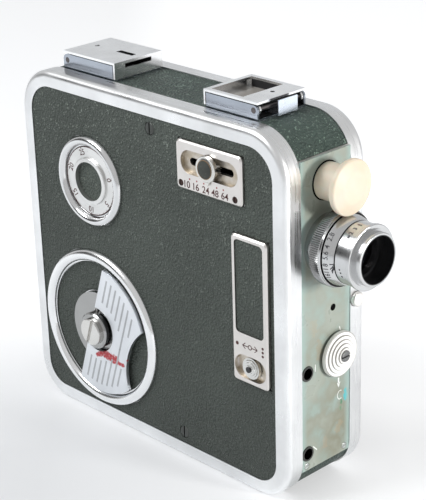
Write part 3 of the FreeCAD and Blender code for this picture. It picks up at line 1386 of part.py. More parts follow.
def make_crank():
    """Crank: pinion, disc and the pin that drives the claw's yoke."""
    body = new_body("crank_wheel", CRANK_X, 0.0, CRANK_Z, -CRANK_TURN)
    bore = S.post_r + S.running
    pinion = root_of(PITCH_PINION)
    low = S.wheel_near + S.gap
    turned(body, "Y", [(-S.gear_near, 0.0), (-S.gear_near, S.disc_r), (-low - 0.1, S.disc_r),
                       (-low - 0.1, pinion),
                       (-S.wheel_far, pinion), (-S.wheel_far, bore), (-low - 0.1, bore),
                       (-low - 0.1, 0.0)])
    teeth(body, PITCH_PINION, -low - 0.1, -S.wheel_far, S.pinion_teeth)
    up_x = S.crank_throw * cosine(90.0 - CRANK_TURN)
    up_z = S.crank_throw * sine(90.0 - CRANK_TURN)
    prism(body, "Y", -S.gear_near - 1.0, -S.gear_near, ("circle", up_x, up_z, S.crank_pin_r))
    return body


def make_mainspring():
    """Mainspring: one strip wound inside the drum, in half turns about two centres."""
    piece = doc.addObject("Part::Feature", "mainspring")
    piece.Label = "mainspring"
    inner = float(S.core_r + S.gap + S.spring_t)
    outer = float(S.drum_r - S.drum_wall - S.gap)
    pitch = float(S.spring_pitch)
    half = float(S.spring_t) / 2.0
    halves = int((outer - inner - pitch) / (pitch / 2.0))
    sides = ([], [])
    for number in range(halves):
        middle = pitch / 2.0 if number % 2 else 0.0
        radius = inner + half + number * pitch / 2.0
        way = 1.0 if number % 2 == 0 else -1.0
        for side, offset in zip(sides, (-half, half)):
            r = radius + offset
            side.append(Part.Arc(Vector(middle + way * r, 0, 0), Vector(middle, 0, way * r),
                                 Vector(middle - way * r, 0, 0)).toShape())
    caps = [Part.LineSegment(sides[0][0].Vertexes[0].Point, sides[1][0].Vertexes[0].Point).toShape(),
            Part.LineSegment(sides[0][-1].Vertexes[-1].Point, sides[1][-1].Vertexes[-1].Point).toShape()]
    wire = Part.Wire(Part.__sortEdges__(sides[0] + sides[1] + caps))
    face = Part.Face(wire)
    depth = float(S.drum_near - S.drum_wall - S.gear_near - S.gap * 2)
    piece.Shape = face.extrude(Vector(0, depth, 0))
    piece.Placement = Placement(Vector(S.winder_x, -S.gear_near - S.gap - depth, S.winder_z), Rotation())
    return piece


def make_claw():
    """Claw and shutter in one bent plate: blade, claw tip and slotted yoke."""
    body = new_body("claw_shutter")
    yoke_y = S.gear_near + 1.0 + S.gap
    yoke_z = CRANK_Z + S.crank_throw
    low = yoke_z - 3.0
    inner = S.partition_near + S.gap
    prism(body, "X", CLAW_X0, CLAW_X1, [
        (-yoke_y - S.yoke_t, low), (-inner, low), (-inner, S.blade_z0), (7.5, S.blade_z0),
        (7.5, S.blade_z1),
        (-yoke_y - S.yoke_t, S.blade_z1)])
    cut(body, "X", CLAW_X0, CLAW_X1, box(-S.aperture_y * 0.6, S.lens_z + S.claw_stroke - S.aperture_z * 0.6,
                                         S.aperture_y * 0.6, S.lens_z + S.claw_stroke + S.aperture_z * 0.6))
    reach = S.crank_throw + S.crank_pin_r + S.gap
    prism(body, "Y", -yoke_y - S.yoke_t, -yoke_y, box(CRANK_X - reach - 1.4, yoke_z - 2.6, CLAW_X1,
                                                      yoke_z + 2.6))
    cut(body, "Y", -yoke_y - S.yoke_t, -yoke_y,
        ("slot", CRANK_X, yoke_z, S.crank_throw, S.crank_pin_r + S.gap))
    edge = S.film_edge + 1.8
    prism(body, "Z", S.blade_z0, S.blade_z0 + 0.8, box(S.gate_x - 0.8, edge - 0.4, CLAW_X0, edge + 0.4))
    return body


def make_gate():
    """Film gate: picture opening, claw slot, film rails and the guide pins behind."""
    body = new_body("film_gate")
    side = -S.film_edge + 7.2
    prism(body, "X", S.gate_x, GATE_FRONT, box(-S.partition_far, S.gate_z0, side, S.gate_z1))
    for start in (S.film_edge - 0.2, S.film_edge + S.film_w - 0.6):
        prism(body, "X", S.gate_x - 0.2, S.gate_x, box(start, S.gate_z0, start + 0.8, S.gate_z1))
    cut(body, "X", S.gate_x, GATE_FRONT, box(-S.aperture_y / 2, S.lens_z - S.aperture_z / 2,
                                             S.aperture_y / 2, S.lens_z + S.aperture_z / 2))
    edge = S.film_edge + 1.8
    cut(body, "X", S.gate_x, GATE_FRONT, box(edge - 0.8, S.blade_z0 - S.claw_stroke - 0.5, edge + 0.8,
                                             S.blade_z0 + 1.4))
    for z in PRESS_PINS:
        prism(body, "X", S.gate_x - S.film_room - S.pressure_t - S.pressure_travel - 1.0, S.gate_x,
              ("circle", PRESS_Y, z, 0.8))
    return body


def make_pressure():
    """Sprung pressure plate on the gate's guide pins."""
    body = new_body("pressure_plate")
    high = S.gate_x - S.film_room
    prism(body, "X", high - S.pressure_t, high, box(S.film_edge + 0.3, S.lens_z - 14.0, PRESS_Y + 1.4,
                                                    S.lens_z + 14.0, 1.0))
    for z in PRESS_PINS:
        cut(body, "X", high - S.pressure_t, high, ("circle", PRESS_Y, z, 0.8 + S.running))
    return body


def make_shutter_cover():
    """Plate in front of the shutter with the light opening."""
    body = new_body("shutter_cover")
    low = CLAW_X1 + S.gap
    prism(body, "X", low, low + 0.6, box(-S.partition_far, S.gate_z0 + 6.0, 9.0, S.gate_z1 - 4.0, 0.8))
    cut(body, "X", low, low + 0.6, ("circle", 0.0, S.lens_z, S.iris_r * 2))
    return body


def spindle(name, x, z, bore, bore_end, top):
    """Spool spindle: flange, ribbed shaft, closed end."""
    body = new_body(name, x, 0.0, z)
    low = -S.partition_far + S.gap
    turned(body, "Y", [(low, bore), (low, S.spool_r), (low + 0.8, S.spool_r), (low + 0.8, S.spindle_r),
                       (top, S.spindle_r), (top, 0.0), (bore_end, 0.0), (bore_end, bore)])
    rib = prism(body, "Y", low + 0.8, top - 2.0, box(S.spindle_r - 0.4, -0.6, S.spindle_r + 1.1, 0.6))
    around(body, rib, "Y", 3)
    return body


def make_takeup():
    """Take-up spindle on the barrel's sleeve."""
    return spindle("takeup_spindle", S.winder_x, S.winder_z, SLEEVE_R + S.running, -1.0 + S.gap,
                   S.film_w * 0.75)


def make_feed():
    """Feed spindle on its post."""
    return spindle("feed_spindle", S.dial_x, S.dial_z, S.post_r + S.running, S.film_w * 0.7 + S.gap,
                   S.film_w * 0.75)


MAKERS = (make_casting, make_mechanism_plate, make_posts, make_side_cover, make_side_leather,
          make_band_leather, make_cover_screws, make_winder_ring, make_dish_leather, make_bezel, make_dial,
          make_dial_inlay, make_dial_clip, make_arbor, make_hub, make_hub_screw, make_wing_pin, make_wing,
          make_speed_plate, make_speed_screws, make_speed_knob, make_mode_plate, make_mode_inlay,
          make_mode_knob, make_mode_screw, make_front_plate, make_front_screws, make_sockets, make_release,
          make_release_screw, make_release_slide, make_lens, make_front_lens, make_rear_lens, make_iris,
          make_aperture_ring, make_plug, make_bush, make_rear_base, make_rear_cover, make_rear_pin,
          make_fore_base, make_fore_pin, make_fore_spring, make_fore_frame, make_fore_glass, make_door,
          make_door_leather, make_latch, make_barrel, make_mainspring, make_train_wheel, make_crank,
          make_claw, make_gate, make_pressure, make_shutter_cover, make_takeup, make_feed)


def export(piece):
    """Check one sub-part and write its STEP file."""
    if any(word in piece.State for word in ("Invalid", "Error")):
        raise RuntimeError(piece.Label + " did not compute")
    if piece.Shape.isNull() or not piece.Shape.isValid():
        raise RuntimeError(piece.Label + " has no valid shape")
    piece.Shape.exportStep(os.path.join("parts", piece.Label + ".step"))
    size = piece.Shape.BoundBox
    print("%-20s %9.1f mm3  %d solids  x %.2f %.2f  y %.2f %.2f  z %.2f %.2f" % (
        piece.Label, piece.Shape.Volume, len(piece.Shape.Solids),
        size.XMin, size.XMax, size.YMin, size.YMax, size.ZMin, size.ZMax))


os.makedirs("parts", exist_ok=True)
pieces = [make() for make in MAKERS]
doc.recompute()
for item in doc.Objects:
    if any(word in item.State for word in ("Invalid", "Error")):
        raise RuntimeError(item.Label + " did not compute")
for piece in pieces:
    export(piece)
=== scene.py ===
"""A pocket movie camera with a spring drive: its looks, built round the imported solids, in metres."""

import math

import bmesh
import bpy
from mathutils import Matrix, Vector


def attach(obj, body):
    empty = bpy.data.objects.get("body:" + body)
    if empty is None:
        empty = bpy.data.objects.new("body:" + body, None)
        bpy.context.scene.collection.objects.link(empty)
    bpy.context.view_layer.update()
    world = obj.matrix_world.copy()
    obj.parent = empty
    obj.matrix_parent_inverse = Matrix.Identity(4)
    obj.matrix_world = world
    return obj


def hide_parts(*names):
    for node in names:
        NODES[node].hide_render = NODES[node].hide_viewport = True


bl_info = {
    "name": "Pocket Movie Camera",
    "version": (1, 0, 0),
    "blender": (4, 5, 0),
    "location": "3D View > Sidebar > Movie Camera",
    "description": "Coverings, bright metal, dial marks and studio light for a spring-driven movie camera",
    "category": "Object",
}

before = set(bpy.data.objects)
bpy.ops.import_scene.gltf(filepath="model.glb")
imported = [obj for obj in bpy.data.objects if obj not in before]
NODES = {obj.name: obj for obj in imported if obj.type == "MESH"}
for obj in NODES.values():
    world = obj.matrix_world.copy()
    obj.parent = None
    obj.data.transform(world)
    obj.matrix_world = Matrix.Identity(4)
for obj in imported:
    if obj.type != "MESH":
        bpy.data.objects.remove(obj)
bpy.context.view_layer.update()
MM = 0.001
LENS_AXIS = Vector((0.0, 0.0, 83.7)) * MM
WINDER_AXIS = Vector((-26.0, 0.0, 34.3)) * MM
COUNTER_AXIS = Vector((-27.1, 0.0, 86.8)) * MM
RELEASE_AXIS = Vector((0.0, 4.9, 45.6)) * MM
SPEED_KNOB = Vector((30.1, 0.0, 104.8)) * MM
SWITCH_KNOB = Vector((46.25, 0.0, 43.8)) * MM

# levels and heights below are millimetres
RAISED = 0.06  # thickness of the figures and strokes
SUNK = 0.03  # how deep they sit in the face that carries them
RING_SEAT = 16.6  # where the winder's ring and the counter's bezel rest on the cover
FRONT_FACE = 60.4  # front of the painted plate

ROUND_X = (0.0, 1.0, 1.0)  # directions square to an axis along X
BROWN_GRIME = (0.32, 0.29, 0.24)
GREY_GRIME = (0.3, 0.28, 0.25)
INNER_BLACK = (0.012, 0.012, 0.013)
COLOUR = {"size": 3, "min": 0.0, "max": 1.0, "subtype": "COLOR"}
EFFECTS = {}  # shared node groups, filled by main


class CoveringSizes(bpy.types.PropertyGroup):
    """The grained leatherette on the body and the door"""

    cell: bpy.props.FloatProperty(
        name="Grain Size", description="Width of one pebble of the grain",
        default=0.0008, min=0.0001, unit="LENGTH", precision=5,
    )
    depth: bpy.props.FloatProperty(
        name="Grain Depth", description="How deep the grain is pressed into the covering",
        default=0.0007, min=0.0, unit="LENGTH", precision=5,
    )
    side: bpy.props.FloatVectorProperty(
        name="Side Colour", description="Grey-green covering of the two flat sides",
        default=(0.080, 0.096, 0.083), **COLOUR,
    )
    band: bpy.props.FloatVectorProperty(
        name="Band Colour", description="Greener covering that runs round the edge of the body",
        default=(0.047, 0.076, 0.063), **COLOUR,
    )


class MetalSizes(bpy.types.PropertyGroup):
    """Bright rims, rings, plates and knobs"""

    bright: bpy.props.FloatVectorProperty(
        name="Polished Metal", description="Polished rims, rings and lens barrel",
        default=(0.85, 0.855, 0.86), **COLOUR,
    )
    satin: bpy.props.FloatVectorProperty(
        name="Satin Metal", description="Frosted speed and switch plates",
        default=(0.69, 0.66, 0.635), **COLOUR,
    )
    wing: bpy.props.FloatVectorProperty(
        name="Wing Metal", description="Pale frosted metal of the winder's wing",
        default=(0.74, 0.76, 0.79), **COLOUR,
    )
    polish: bpy.props.FloatProperty(
        name="Rim Roughness", description="Roughness of the polished rims, smaller is shinier",
        default=0.3, min=0.0, max=1.0, subtype="FACTOR",
    )


class PaintSizes(bpy.types.PropertyGroup):
    """Front plate paint, engraved ink and the socket plug"""

    plate: bpy.props.FloatVectorProperty(
        name="Front Plate", description="Pale aqua paint of the plate round the lens",
        default=(0.30, 0.41, 0.39), **COLOUR,
    )
    ink: bpy.props.FloatVectorProperty(
        name="Engraving Ink", description="Dark red-brown fill of the engraved marks on the side",
        default=(0.075, 0.018, 0.014), **COLOUR,
    )
    smear: bpy.props.FloatVectorProperty(
        name="Red Paint", description="Dry smear of red paint on the winder wing",
        default=(0.42, 0.035, 0.045), **COLOUR,
    )
    ivory: bpy.props.FloatVectorProperty(
        name="Plug", description="Yellowed plastic of the plug above the lens",
        default=(0.70, 0.63, 0.525), **COLOUR,
    )


class StudioSizes(bpy.types.PropertyGroup):
    """Camera, floor and lamps"""

    focal: bpy.props.FloatProperty(
        name="Focal Length", description="Focal length of the picture's camera, in millimetres",
        default=112.64, min=10.0,
    )
    floor: bpy.props.FloatVectorProperty(
        name="Floor", description="Pale sheet under and behind the camera",
        default=(0.86, 0.88, 0.90), **COLOUR,
    )
    key: bpy.props.FloatProperty(
        name="Right Lamp", description="Power of the soft lamp on the right",
        default=5.0, min=0.0, unit="POWER",
    )
    fill: bpy.props.FloatProperty(
        name="Left Lamp", description="Power of the soft lamp high on the left",
        default=6.0, min=0.0, unit="POWER",
    )
    sky: bpy.props.FloatProperty(
        name="Room Light", description="Strength of the light that comes from all round",
        default=0.42, min=0.0,
    )


def shade(colour, share):
    """The same colour, darker or lighter."""
    return [channel * share for channel in colour]


class Wiring:
    """The nodes of one material or effect, added and linked step by step."""

    def __init__(self, tree):
        self.tree = tree

    def fill(self, node, sockets):
        """Fills or links a node's inputs; underscores stand for spaces."""
        for name, value in sockets.items():
            socket = node.inputs[name.replace("_", " ") if isinstance(name, str) else name]
            if isinstance(value, bpy.types.NodeSocket):
                self.tree.links.new(value, socket)
            else:
                socket.default_value = value
        return node

    def add(self, kind, sockets=None, **settings):
        """Adds a node with its settings and inputs."""
        node = self.tree.nodes.new(kind)
        for name, value in settings.items():
            setattr(node, name, value)
        return self.fill(node, sockets or {})

    def math(self, operation, *values):
        """One step of arithmetic; returns its result."""
        return self.add("ShaderNodeMath", dict(enumerate(values)), operation=operation).outputs[0]

    def times(self, first, second):
        return self.math("MULTIPLY", first, second)

    def plus(self, first, second):
        return self.math("ADD", first, second)

    def minus(self, first, second):
        return self.math("SUBTRACT", first, second)

    def off(self, value, middle):
        """How far a value lies from a middle one."""
        return self.math("ABSOLUTE", self.minus(value, middle))

    def vector(self, operation, *values):
        """One step of vector arithmetic; a length or a dot product comes back as a number."""
        sockets = dict(zip((0, "Scale") if operation == "SCALE" else (0, 1), values))
        outputs = self.add("ShaderNodeVectorMath", sockets, operation=operation).outputs
        return outputs["Value" if operation in ("LENGTH", "DOT_PRODUCT") else "Vector"]

    def place(self):
        """A point's place on its own piece, in metres."""
        return self.add("ShaderNodeTexCoord").outputs["Object"]

    def axes(self):
        """The same place as three numbers, X, Y and Z."""
        return self.add("ShaderNodeSeparateXYZ", {"Vector": self.place()}).outputs

    def radius(self, axis, across):
        """How far a point lies from an axis, in metres."""
        offset = self.vector("SUBTRACT", self.place(), axis)
        return self.vector("LENGTH", self.vector("MULTIPLY", offset, across))

    def remap(self, value, low, high, to_low=0.0, to_high=1.0):
        """Stretches value from low..high to to_low..to_high, clamped."""
        limits = {"Value": value, "From Min": low, "From Max": high, "To Min": to_low, "To Max": to_high}
        return self.add("ShaderNodeMapRange", limits).outputs["Result"]

    def between(self, mask, low, high):
        """A number that follows a mask from low to high."""
        return self.remap(mask, 0.0, 1.0, low, high)

    def speckle(self, where, scale, detail, **more):
        """Cloudy noise from 0 to 1."""
        sockets = {"Vector": where, "Scale": scale, "Detail": detail, **more}
        return self.add("ShaderNodeTexNoise", sockets).outputs["Fac"]

    def stretch(self, where, scale):
        """Draws a pattern out: it is finer where the scale is larger."""
        return self.add("ShaderNodeMapping", {"Vector": where, "Scale": scale}).outputs[0]

    def tint(self, amount, first, second):
        """Mixes two colours by amount."""
        sockets = {0: amount}
        for index, colour in ((6, first), (7, second)):
            linked = isinstance(colour, bpy.types.NodeSocket)
            sockets[index] = colour if linked else (*colour[:3], 1.0)
        return self.add("ShaderNodeMix", sockets, data_type="RGBA").outputs[2]

    def layers(self, colour, *layers):
        """Lays more colours over a first one, each through its mask or a share of it."""
        for mask, upper, *share in layers:
            colour = self.tint(self.times(mask, *share) if share else mask, colour, upper)
        return colour

    def relief(self, height, depth):
        """A normal that rises and falls with height, depth metres deep."""
        return self.add("ShaderNodeBump", {"Height": height, "Distance": depth}).outputs["Normal"]

    def tooth(self, scale, detail, depth):
        """The normal of a finely rough skin."""
        return self.relief(self.speckle(self.place(), scale, detail), depth)

    def scratched(self, worn):
        """The normal of a smooth skin with hair scratches."""
        return self.relief(self.times(worn["Scratch"], -1.0), 6e-6)

    def effect(self, name, **values):
        """Places a shared effect with its own values."""
        return self.fill(self.add("ShaderNodeGroup", node_tree=EFFECTS[name]), values).outputs

    def streak(self, start, end, width, ragged):
        """Mask of a ragged streak between two points, in millimetres."""
        ends = {"From": Vector(start) * MM, "To": Vector(end) * MM}
        return self.effect("streak", **ends, Width=width * MM, Ragged=ragged)["Mask"]


class Effect(Wiring):
    """A shared pattern with named inputs and outputs, placed in each material with its own values."""

    def __init__(self, name, inlets, outlets):
        super().__init__(bpy.data.node_groups.new(name, "ShaderNodeTree"))
        sockets = self.tree.interface
        for label, value in inlets.items():
            kind = "NodeSocketFloat" if isinstance(value, float) else "NodeSocketVector"
            sockets.new_socket(label, in_out="INPUT", socket_type=kind).default_value = value
        for label in outlets:
            sockets.new_socket(label, in_out="OUTPUT", socket_type="NodeSocketFloat")
        self.given = self.add("NodeGroupInput").outputs
        self.result = self.add("NodeGroupOutput")

    def give(self, **results):
        """Links what the effect puts out and returns its group."""
        self.fill(self.result, results)
        return self.tree


class Finish(Wiring):
    """A material in the making: its patterns are wired into the shader."""

    def __init__(self, name, **shader):
        self.material = bpy.data.materials.new(name)
        self.material.use_nodes = True
        super().__init__(self.material.node_tree)
        self.wire(**shader)

    def wire(self, **links):
        """Sets or links the shader's inputs and returns the material."""
        self.fill(self.tree.nodes["Principled BSDF"], links)
        return self.material


def leatherette_grain():
    """Pressed pebble grain: a height, a mask of pebble tops to be made light, partly worn smooth and partly
    painted highlight, and slow changes of tone.
    """
    grain = Effect("Leatherette Grain", {"Cell": 0.0006, "Wander": 0.0003}, ("Height", "Rubbed", "Tone"))
    where = grain.place()
    sockets = {"Vector": where, "Scale": 900.0, "Detail": 1.0}
    drift = grain.add("ShaderNodeTexNoise", sockets).outputs["Color"]
    centred = grain.vector("SUBTRACT", drift, (0.5, 0.5, 0.5))
    moved = grain.vector("ADD", where, grain.vector("SCALE", centred, grain.given["Wander"]))
    fineness = grain.math("DIVIDE", 1.0, grain.given["Cell"])
    sockets = {"Vector": moved, "Scale": fineness, "Smoothness": 0.35}
    cells = grain.add("ShaderNodeTexVoronoi", sockets, feature="SMOOTH_F1").outputs["Distance"]
    pebble = grain.remap(cells, 0.0, 0.75, 1.0, 0.0)
    height = grain.plus(pebble, grain.times(grain.speckle(where, 5200.0, 2.0), 0.35))
    # tops chosen to turn light: partly wear, partly painted highlight on the grain
    chosen = grain.plus(grain.speckle(where, 420.0, 3.0), grain.times(pebble, 0.6))
    tone = grain.speckle(where, 38.0, 3.0)
    return grain.give(Height=height, Rubbed=grain.remap(chosen, 0.88, 1.12), Tone=tone)


def turned_lines():
    """Fine circles left by a lathe round an axis: a height and streaks of tone."""
    inlets = {"Axis Point": (0.0, 0.0, 0.0), "Across": (1.0, 0.0, 1.0), "Lines": 6000.0}
    turned = Effect("Turned Lines", inlets, ("Height", "Streak"))
    axis = turned.given["Axis Point"]
    along = turned.vector("LENGTH", turned.vector("SUBTRACT", turned.place(), axis))
    reach = turned.plus(turned.radius(axis, turned.given["Across"]), along)
    sockets = {"W": reach, "Scale": turned.given["Lines"], "Detail": 3.0}
    line = turned.add("ShaderNodeTexNoise", sockets, noise_dimensions="1D").outputs["Fac"]
    return turned.give(Height=line, Streak=turned.remap(line, 0.35, 0.65))


def handling_marks():
    """What years of hands leave: cloudy smudges, hair scratches and grains of dirt."""
    inlets = {"Smudge Scale": 120.0, "Scratch Angle": 0.6, "Dirt": 0.3}
    marks = Effect("Handling Marks", inlets, ("Smudge", "Scratch", "Speck"))
    where = marks.place()
    cloud = marks.speckle(where, marks.given["Smudge Scale"], 4.0)
    swing = marks.add("ShaderNodeVectorRotate", {"Vector": where, "Angle": marks.given["Scratch Angle"]})
    drawn = marks.stretch(swing.outputs[0], (60.0, 300.0, 4200.0))
    hair = marks.remap(marks.speckle(drawn, 1.0, 2.0, Distortion=0.6), 0.66, 0.74)
    limit = marks.minus(0.86, marks.times(marks.given["Dirt"], 0.2))
    speck = marks.remap(marks.speckle(where, 1500.0, 1.0), limit, 0.9)
    return marks.give(Smudge=marks.remap(cloud, 0.35, 0.7), Scratch=hair, Speck=speck)


def streak_mask():
    """A ragged streak between two points of a piece."""
    inlets = {"From": (0.0, 0.0, 0.0), "To": (0.0, 0.0, 0.01), "Width": 0.002, "Ragged": 0.5}
    streak = Effect("Streak", inlets, ("Mask",))
    where, given = streak.place(), streak.given
    span = streak.vector("SUBTRACT", given["To"], given["From"])
    out = streak.vector("SUBTRACT", where, given["From"])
    whole = streak.math("MAXIMUM", streak.vector("DOT_PRODUCT", span, span), 1e-9)
    share = streak.remap(streak.math("DIVIDE", streak.vector("DOT_PRODUCT", out, span), whole), 0.0, 1.0)
    far = streak.vector("LENGTH", streak.vector("SUBTRACT", out, streak.vector("SCALE", span, share)))
    edge = streak.minus(streak.speckle(where, 900.0, 3.0), 0.5)
    rough = streak.times(streak.times(edge, given["Ragged"]), given["Width"])
    limit = streak.plus(given["Width"], streak.times(rough, 2.0))
    return streak.give(Mask=streak.remap(streak.math("DIVIDE", far, limit), 1.0, 0.7))


def metal(name, colour, roughness, axis=None, dirt=0.3, lines=5200.0):
    """Bare metal with smudges, hair scratches, specks of grime and, round an axis, turned lines."""
    skin = Finish(name, Metallic=1.0)
    worn = skin.effect("marks", Dirt=dirt)
    layers = [(worn["Smudge"], shade(colour, 0.93)), (worn["Speck"], BROWN_GRIME, 0.7)]
    height = skin.times(worn["Scratch"], -1.0)
    if axis is not None:
        turned = skin.effect("turned", Axis_Point=axis, Lines=lines)
        layers.insert(1, (turned["Streak"], shade(colour, 0.6), 0.12))
        height = skin.plus(height, turned["Height"])
    rub = skin.between(worn["Smudge"], roughness * 0.85, roughness * 1.3)
    rub = skin.plus(rub, skin.times(worn["Speck"], 0.3))
    base = skin.layers(colour, *layers)
    return skin.wire(Base_Color=base, Roughness=rub, Normal=skin.relief(height, 6e-6))


def plain(name, colour, roughness, variation=0.15, dirt=0.3, **shader):
    """Paint or plastic with slow changes of tone, grains of dirt and a faint skin."""
    skin = Finish(name, **shader)
    worn = skin.effect("marks", Dirt=dirt)
    smudge, speck = worn["Smudge"], worn["Speck"]
    dull, dusty = shade(colour, 0.55), (0.30, 0.27, 0.23)
    base = skin.layers(colour, (smudge, dull, variation * 2.0), (speck, dusty, 0.5))
    rub = skin.between(smudge, roughness * 0.8, min(1.0, roughness * 1.3))
    return skin.wire(Base_Color=base, Roughness=rub, Normal=skin.tooth(2600.0, 3.0, 1e-5))


def ink_finish(context):
    """Dark fill of the engraved marks, one material for all plates."""
    colour = context.scene.moviecam_paint.ink
    return bpy.data.materials.get("engraving ink") or plain("engraving ink", colour, 0.5, 0.4, 0.5)


def leatherette(name, colour, rubbed_and_sheen, roughness, sizes):
    """Pebbled grain with painted shade that darkens it towards the foot, and light pebble tops, partly worn
    smooth and partly painted highlight that grows towards the upper edge.
    """
    skin = Finish(name, Specular_IOR_Level=0.4)
    grain = skin.effect("grain", Cell=sizes.cell, Wander=sizes.cell * 0.5)
    worn = skin.effect("marks", Smudge_Scale=30.0, Dirt=0.2)
    height = skin.axes()["Z"]
    base = skin.layers(
        colour,
        (skin.remap(grain["Tone"], 0.3, 0.7), shade(colour, 0.7)),
        # painted shade: the covering darkens towards the foot
        (skin.remap(height, 0.11, 0.0, 0.0, 0.55), shade(colour, 0.5)),
        # painted highlight, partly wear: pebble tops turn light, more towards the upper edge
        (skin.times(grain["Rubbed"], skin.remap(height, 0.05, 0.11, 0.25, 1.3)), rubbed_and_sheen),
        (worn["Scratch"], rubbed_and_sheen, 0.1),
    )
    rub = skin.remap(grain["Height"], 0.2, 1.1, roughness * 1.35, roughness)
    return skin.wire(Base_Color=base, Roughness=rub, Normal=skin.relief(grain["Height"], sizes.depth))


def worn_rim(sizes):
    """Satin aluminium with soft cloudy streaks along the edge."""
    skin = Finish("worn rim aluminium", Metallic=1.0)
    where = skin.place()
    streak = skin.remap(skin.speckle(skin.stretch(where, (60.0, 1500.0, 60.0)), 1.0, 3.0), 0.3, 0.7)
    cloud = skin.remap(skin.speckle(where, 70.0, 4.0), 0.35, 0.65)
    pale, dark = shade(sizes.bright, 0.86), shade(sizes.bright, 0.72)
    base = skin.layers(sizes.bright, (cloud, pale), (streak, dark, 0.35))
    rub = skin.between(streak, sizes.polish * 0.8, sizes.polish * 1.35)
    return skin.wire(Base_Color=base, Roughness=rub, Normal=skin.relief(streak, 3e-6))


def casting_metal(silver):
    """Bare aluminium outside, black paint in the film room."""
    mid_height, reach = 0.0602, 0.0578
    skin = Finish("casting")
    parts = skin.axes()
    far = skin.math("MAXIMUM", skin.off(parts["Z"], mid_height), skin.math("ABSOLUTE", parts["X"]))
    outside = skin.math("GREATER_THAN", far, reach)
    smudge = skin.effect("marks", Dirt=0.4)["Smudge"]
    black = skin.tint(smudge, (0.018, 0.018, 0.019), (0.03, 0.029, 0.028))
    bare = skin.tint(smudge, silver, shade(silver, 0.8))
    skin.wire(Base_Color=skin.tint(outside, black, bare), Metallic=outside)
    return skin.wire(Roughness=skin.between(smudge, 0.4, 0.6), Normal=skin.tooth(1800.0, 4.0, 4e-5))


def wing_silver(silver, red):
    """Frosted metal with a dry red smear."""
    face = -18.9
    skin = Finish("wing silver")
    worn = skin.effect("marks", Dirt=0.35, Scratch_Angle=1.1)
    speck = (worn["Speck"], (0.3, 0.27, 0.24), 0.6)
    base = skin.layers(silver, (worn["Smudge"], shade(silver, 0.9)), speck)
    stain = 0.0
    for (x, z), (end_x, end_z), width in (
        ((-26.6, 24.6), (-22.4, 26.4), 1.0),
        ((-22.8, 26.4), (-17.4, 25.5), 2.0),
        ((-18.6, 25.5), (-13.6, 24.8), 1.0),
        ((-11.4, 27.3), (-11.1, 27.3), 0.45),
    ):
        stain = skin.math("MAXIMUM", stain, skin.streak((x, face, z), (end_x, face, end_z), width, 0.9))
    patchy = skin.remap(skin.speckle(skin.place(), 1300.0, 4.0), 0.3, 0.5, 0.6, 1.0)
    stain = skin.times(stain, patchy)
    skin.wire(Base_Color=skin.tint(stain, base, red), Metallic=skin.between(stain, 1.0, 0.0))
    return skin.wire(Roughness=skin.between(stain, 0.34, 0.6), Normal=skin.tooth(3200.0, 2.0, 1e-5))


def plate_silver(name, silver, recess, half):
    """Frosted metal, its recess brown with old dirt."""
    skin = Finish(name, Metallic=1.0)
    parts = skin.axes()
    worn = skin.effect("marks", Dirt=0.35)
    patchy = skin.remap(skin.speckle(skin.place(), 500.0, 4.0), 0.35, 0.65, 0.45, 1.0)
    sunk = skin.times(skin.remap(parts["Y"], -0.01825, -0.0181), patchy)
    for axis, middle, reach in zip("XZ", recess, half):
        sunk = skin.times(sunk, skin.math("LESS_THAN", skin.off(parts[axis], middle * MM), reach * MM))
    base = skin.layers(
        silver,
        (worn["Smudge"], shade(silver, 0.93)),
        (sunk, (0.50, 0.44, 0.35)),
        (worn["Speck"], BROWN_GRIME, 0.7),
    )
    return skin.wire(Base_Color=base, Roughness=skin.between(sunk, 0.3, 0.5), Normal=skin.scratched(worn))


def aqua_enamel(aqua):
    """Paint still clear at the edges, worn to grey and olive between, with spots of verdigris."""
    skin = Finish("aqua enamel", Coat_Weight=0.15, Coat_Roughness=0.15)
    where, parts = skin.place(), skin.axes()
    low = skin.remap(parts["Z"], 0.052, 0.018)
    edge = skin.remap(skin.math("ABSOLUTE", parts["Y"]), 0.0084, 0.0104)
    cloud = skin.speckle(where, 75.0, 5.0)
    olive = skin.times(skin.remap(cloud, 0.4, 0.6), skin.between(low, 0.45, 1.0))
    clear = skin.remap(skin.speckle(where, 150.0, 4.0), 0.46, 0.66, 0.0, 0.55)
    base = skin.layers((0.30, 0.33, 0.285), (olive, (0.205, 0.205, 0.15)), (clear, aqua))
    for start, end, width, colour, share in (
        ((-2.9, 51.5), (-2.5, 46.5), 1.5, (0.32, 0.24, 0.15), 0.35),
        ((6.9, 20.6), (5.3, 18.4), 1.4, (0.34, 0.25, 0.14), 0.35),
        ((-0.5, 17.8), (-0.3, 15.0), 1.1, (0.34, 0.26, 0.17), 0.35),
        ((-5.5, 59.0), (-5.3, 56.0), 1.6, (0.36, 0.31, 0.22), 0.35),
        ((9.2, 31.0), (9.25, 28.3), 0.85, (0.02, 0.40, 0.44), 1.0),
        ((7.1, 28.2), (7.15, 27.3), 0.5, (0.06, 0.20, 0.10), 0.9),
        ((6.9, 25.7), (6.9, 25.1), 0.4, (0.10, 0.24, 0.12), 0.8),
    ):
        spot = skin.streak((FRONT_FACE, *start), (FRONT_FACE, *end), width, 1.6)
        base = skin.layers(base, (spot, colour, share))
    speck = skin.effect("marks", Dirt=0.45)["Speck"]
    base = skin.layers(base, (edge, aqua, 0.75), (speck, (0.20, 0.18, 0.12), 0.6))
    rub = skin.remap(cloud, 0.3, 0.7, 0.24, 0.4)
    return skin.wire(Base_Color=base, Roughness=rub, Normal=skin.relief(cloud, 3e-5))


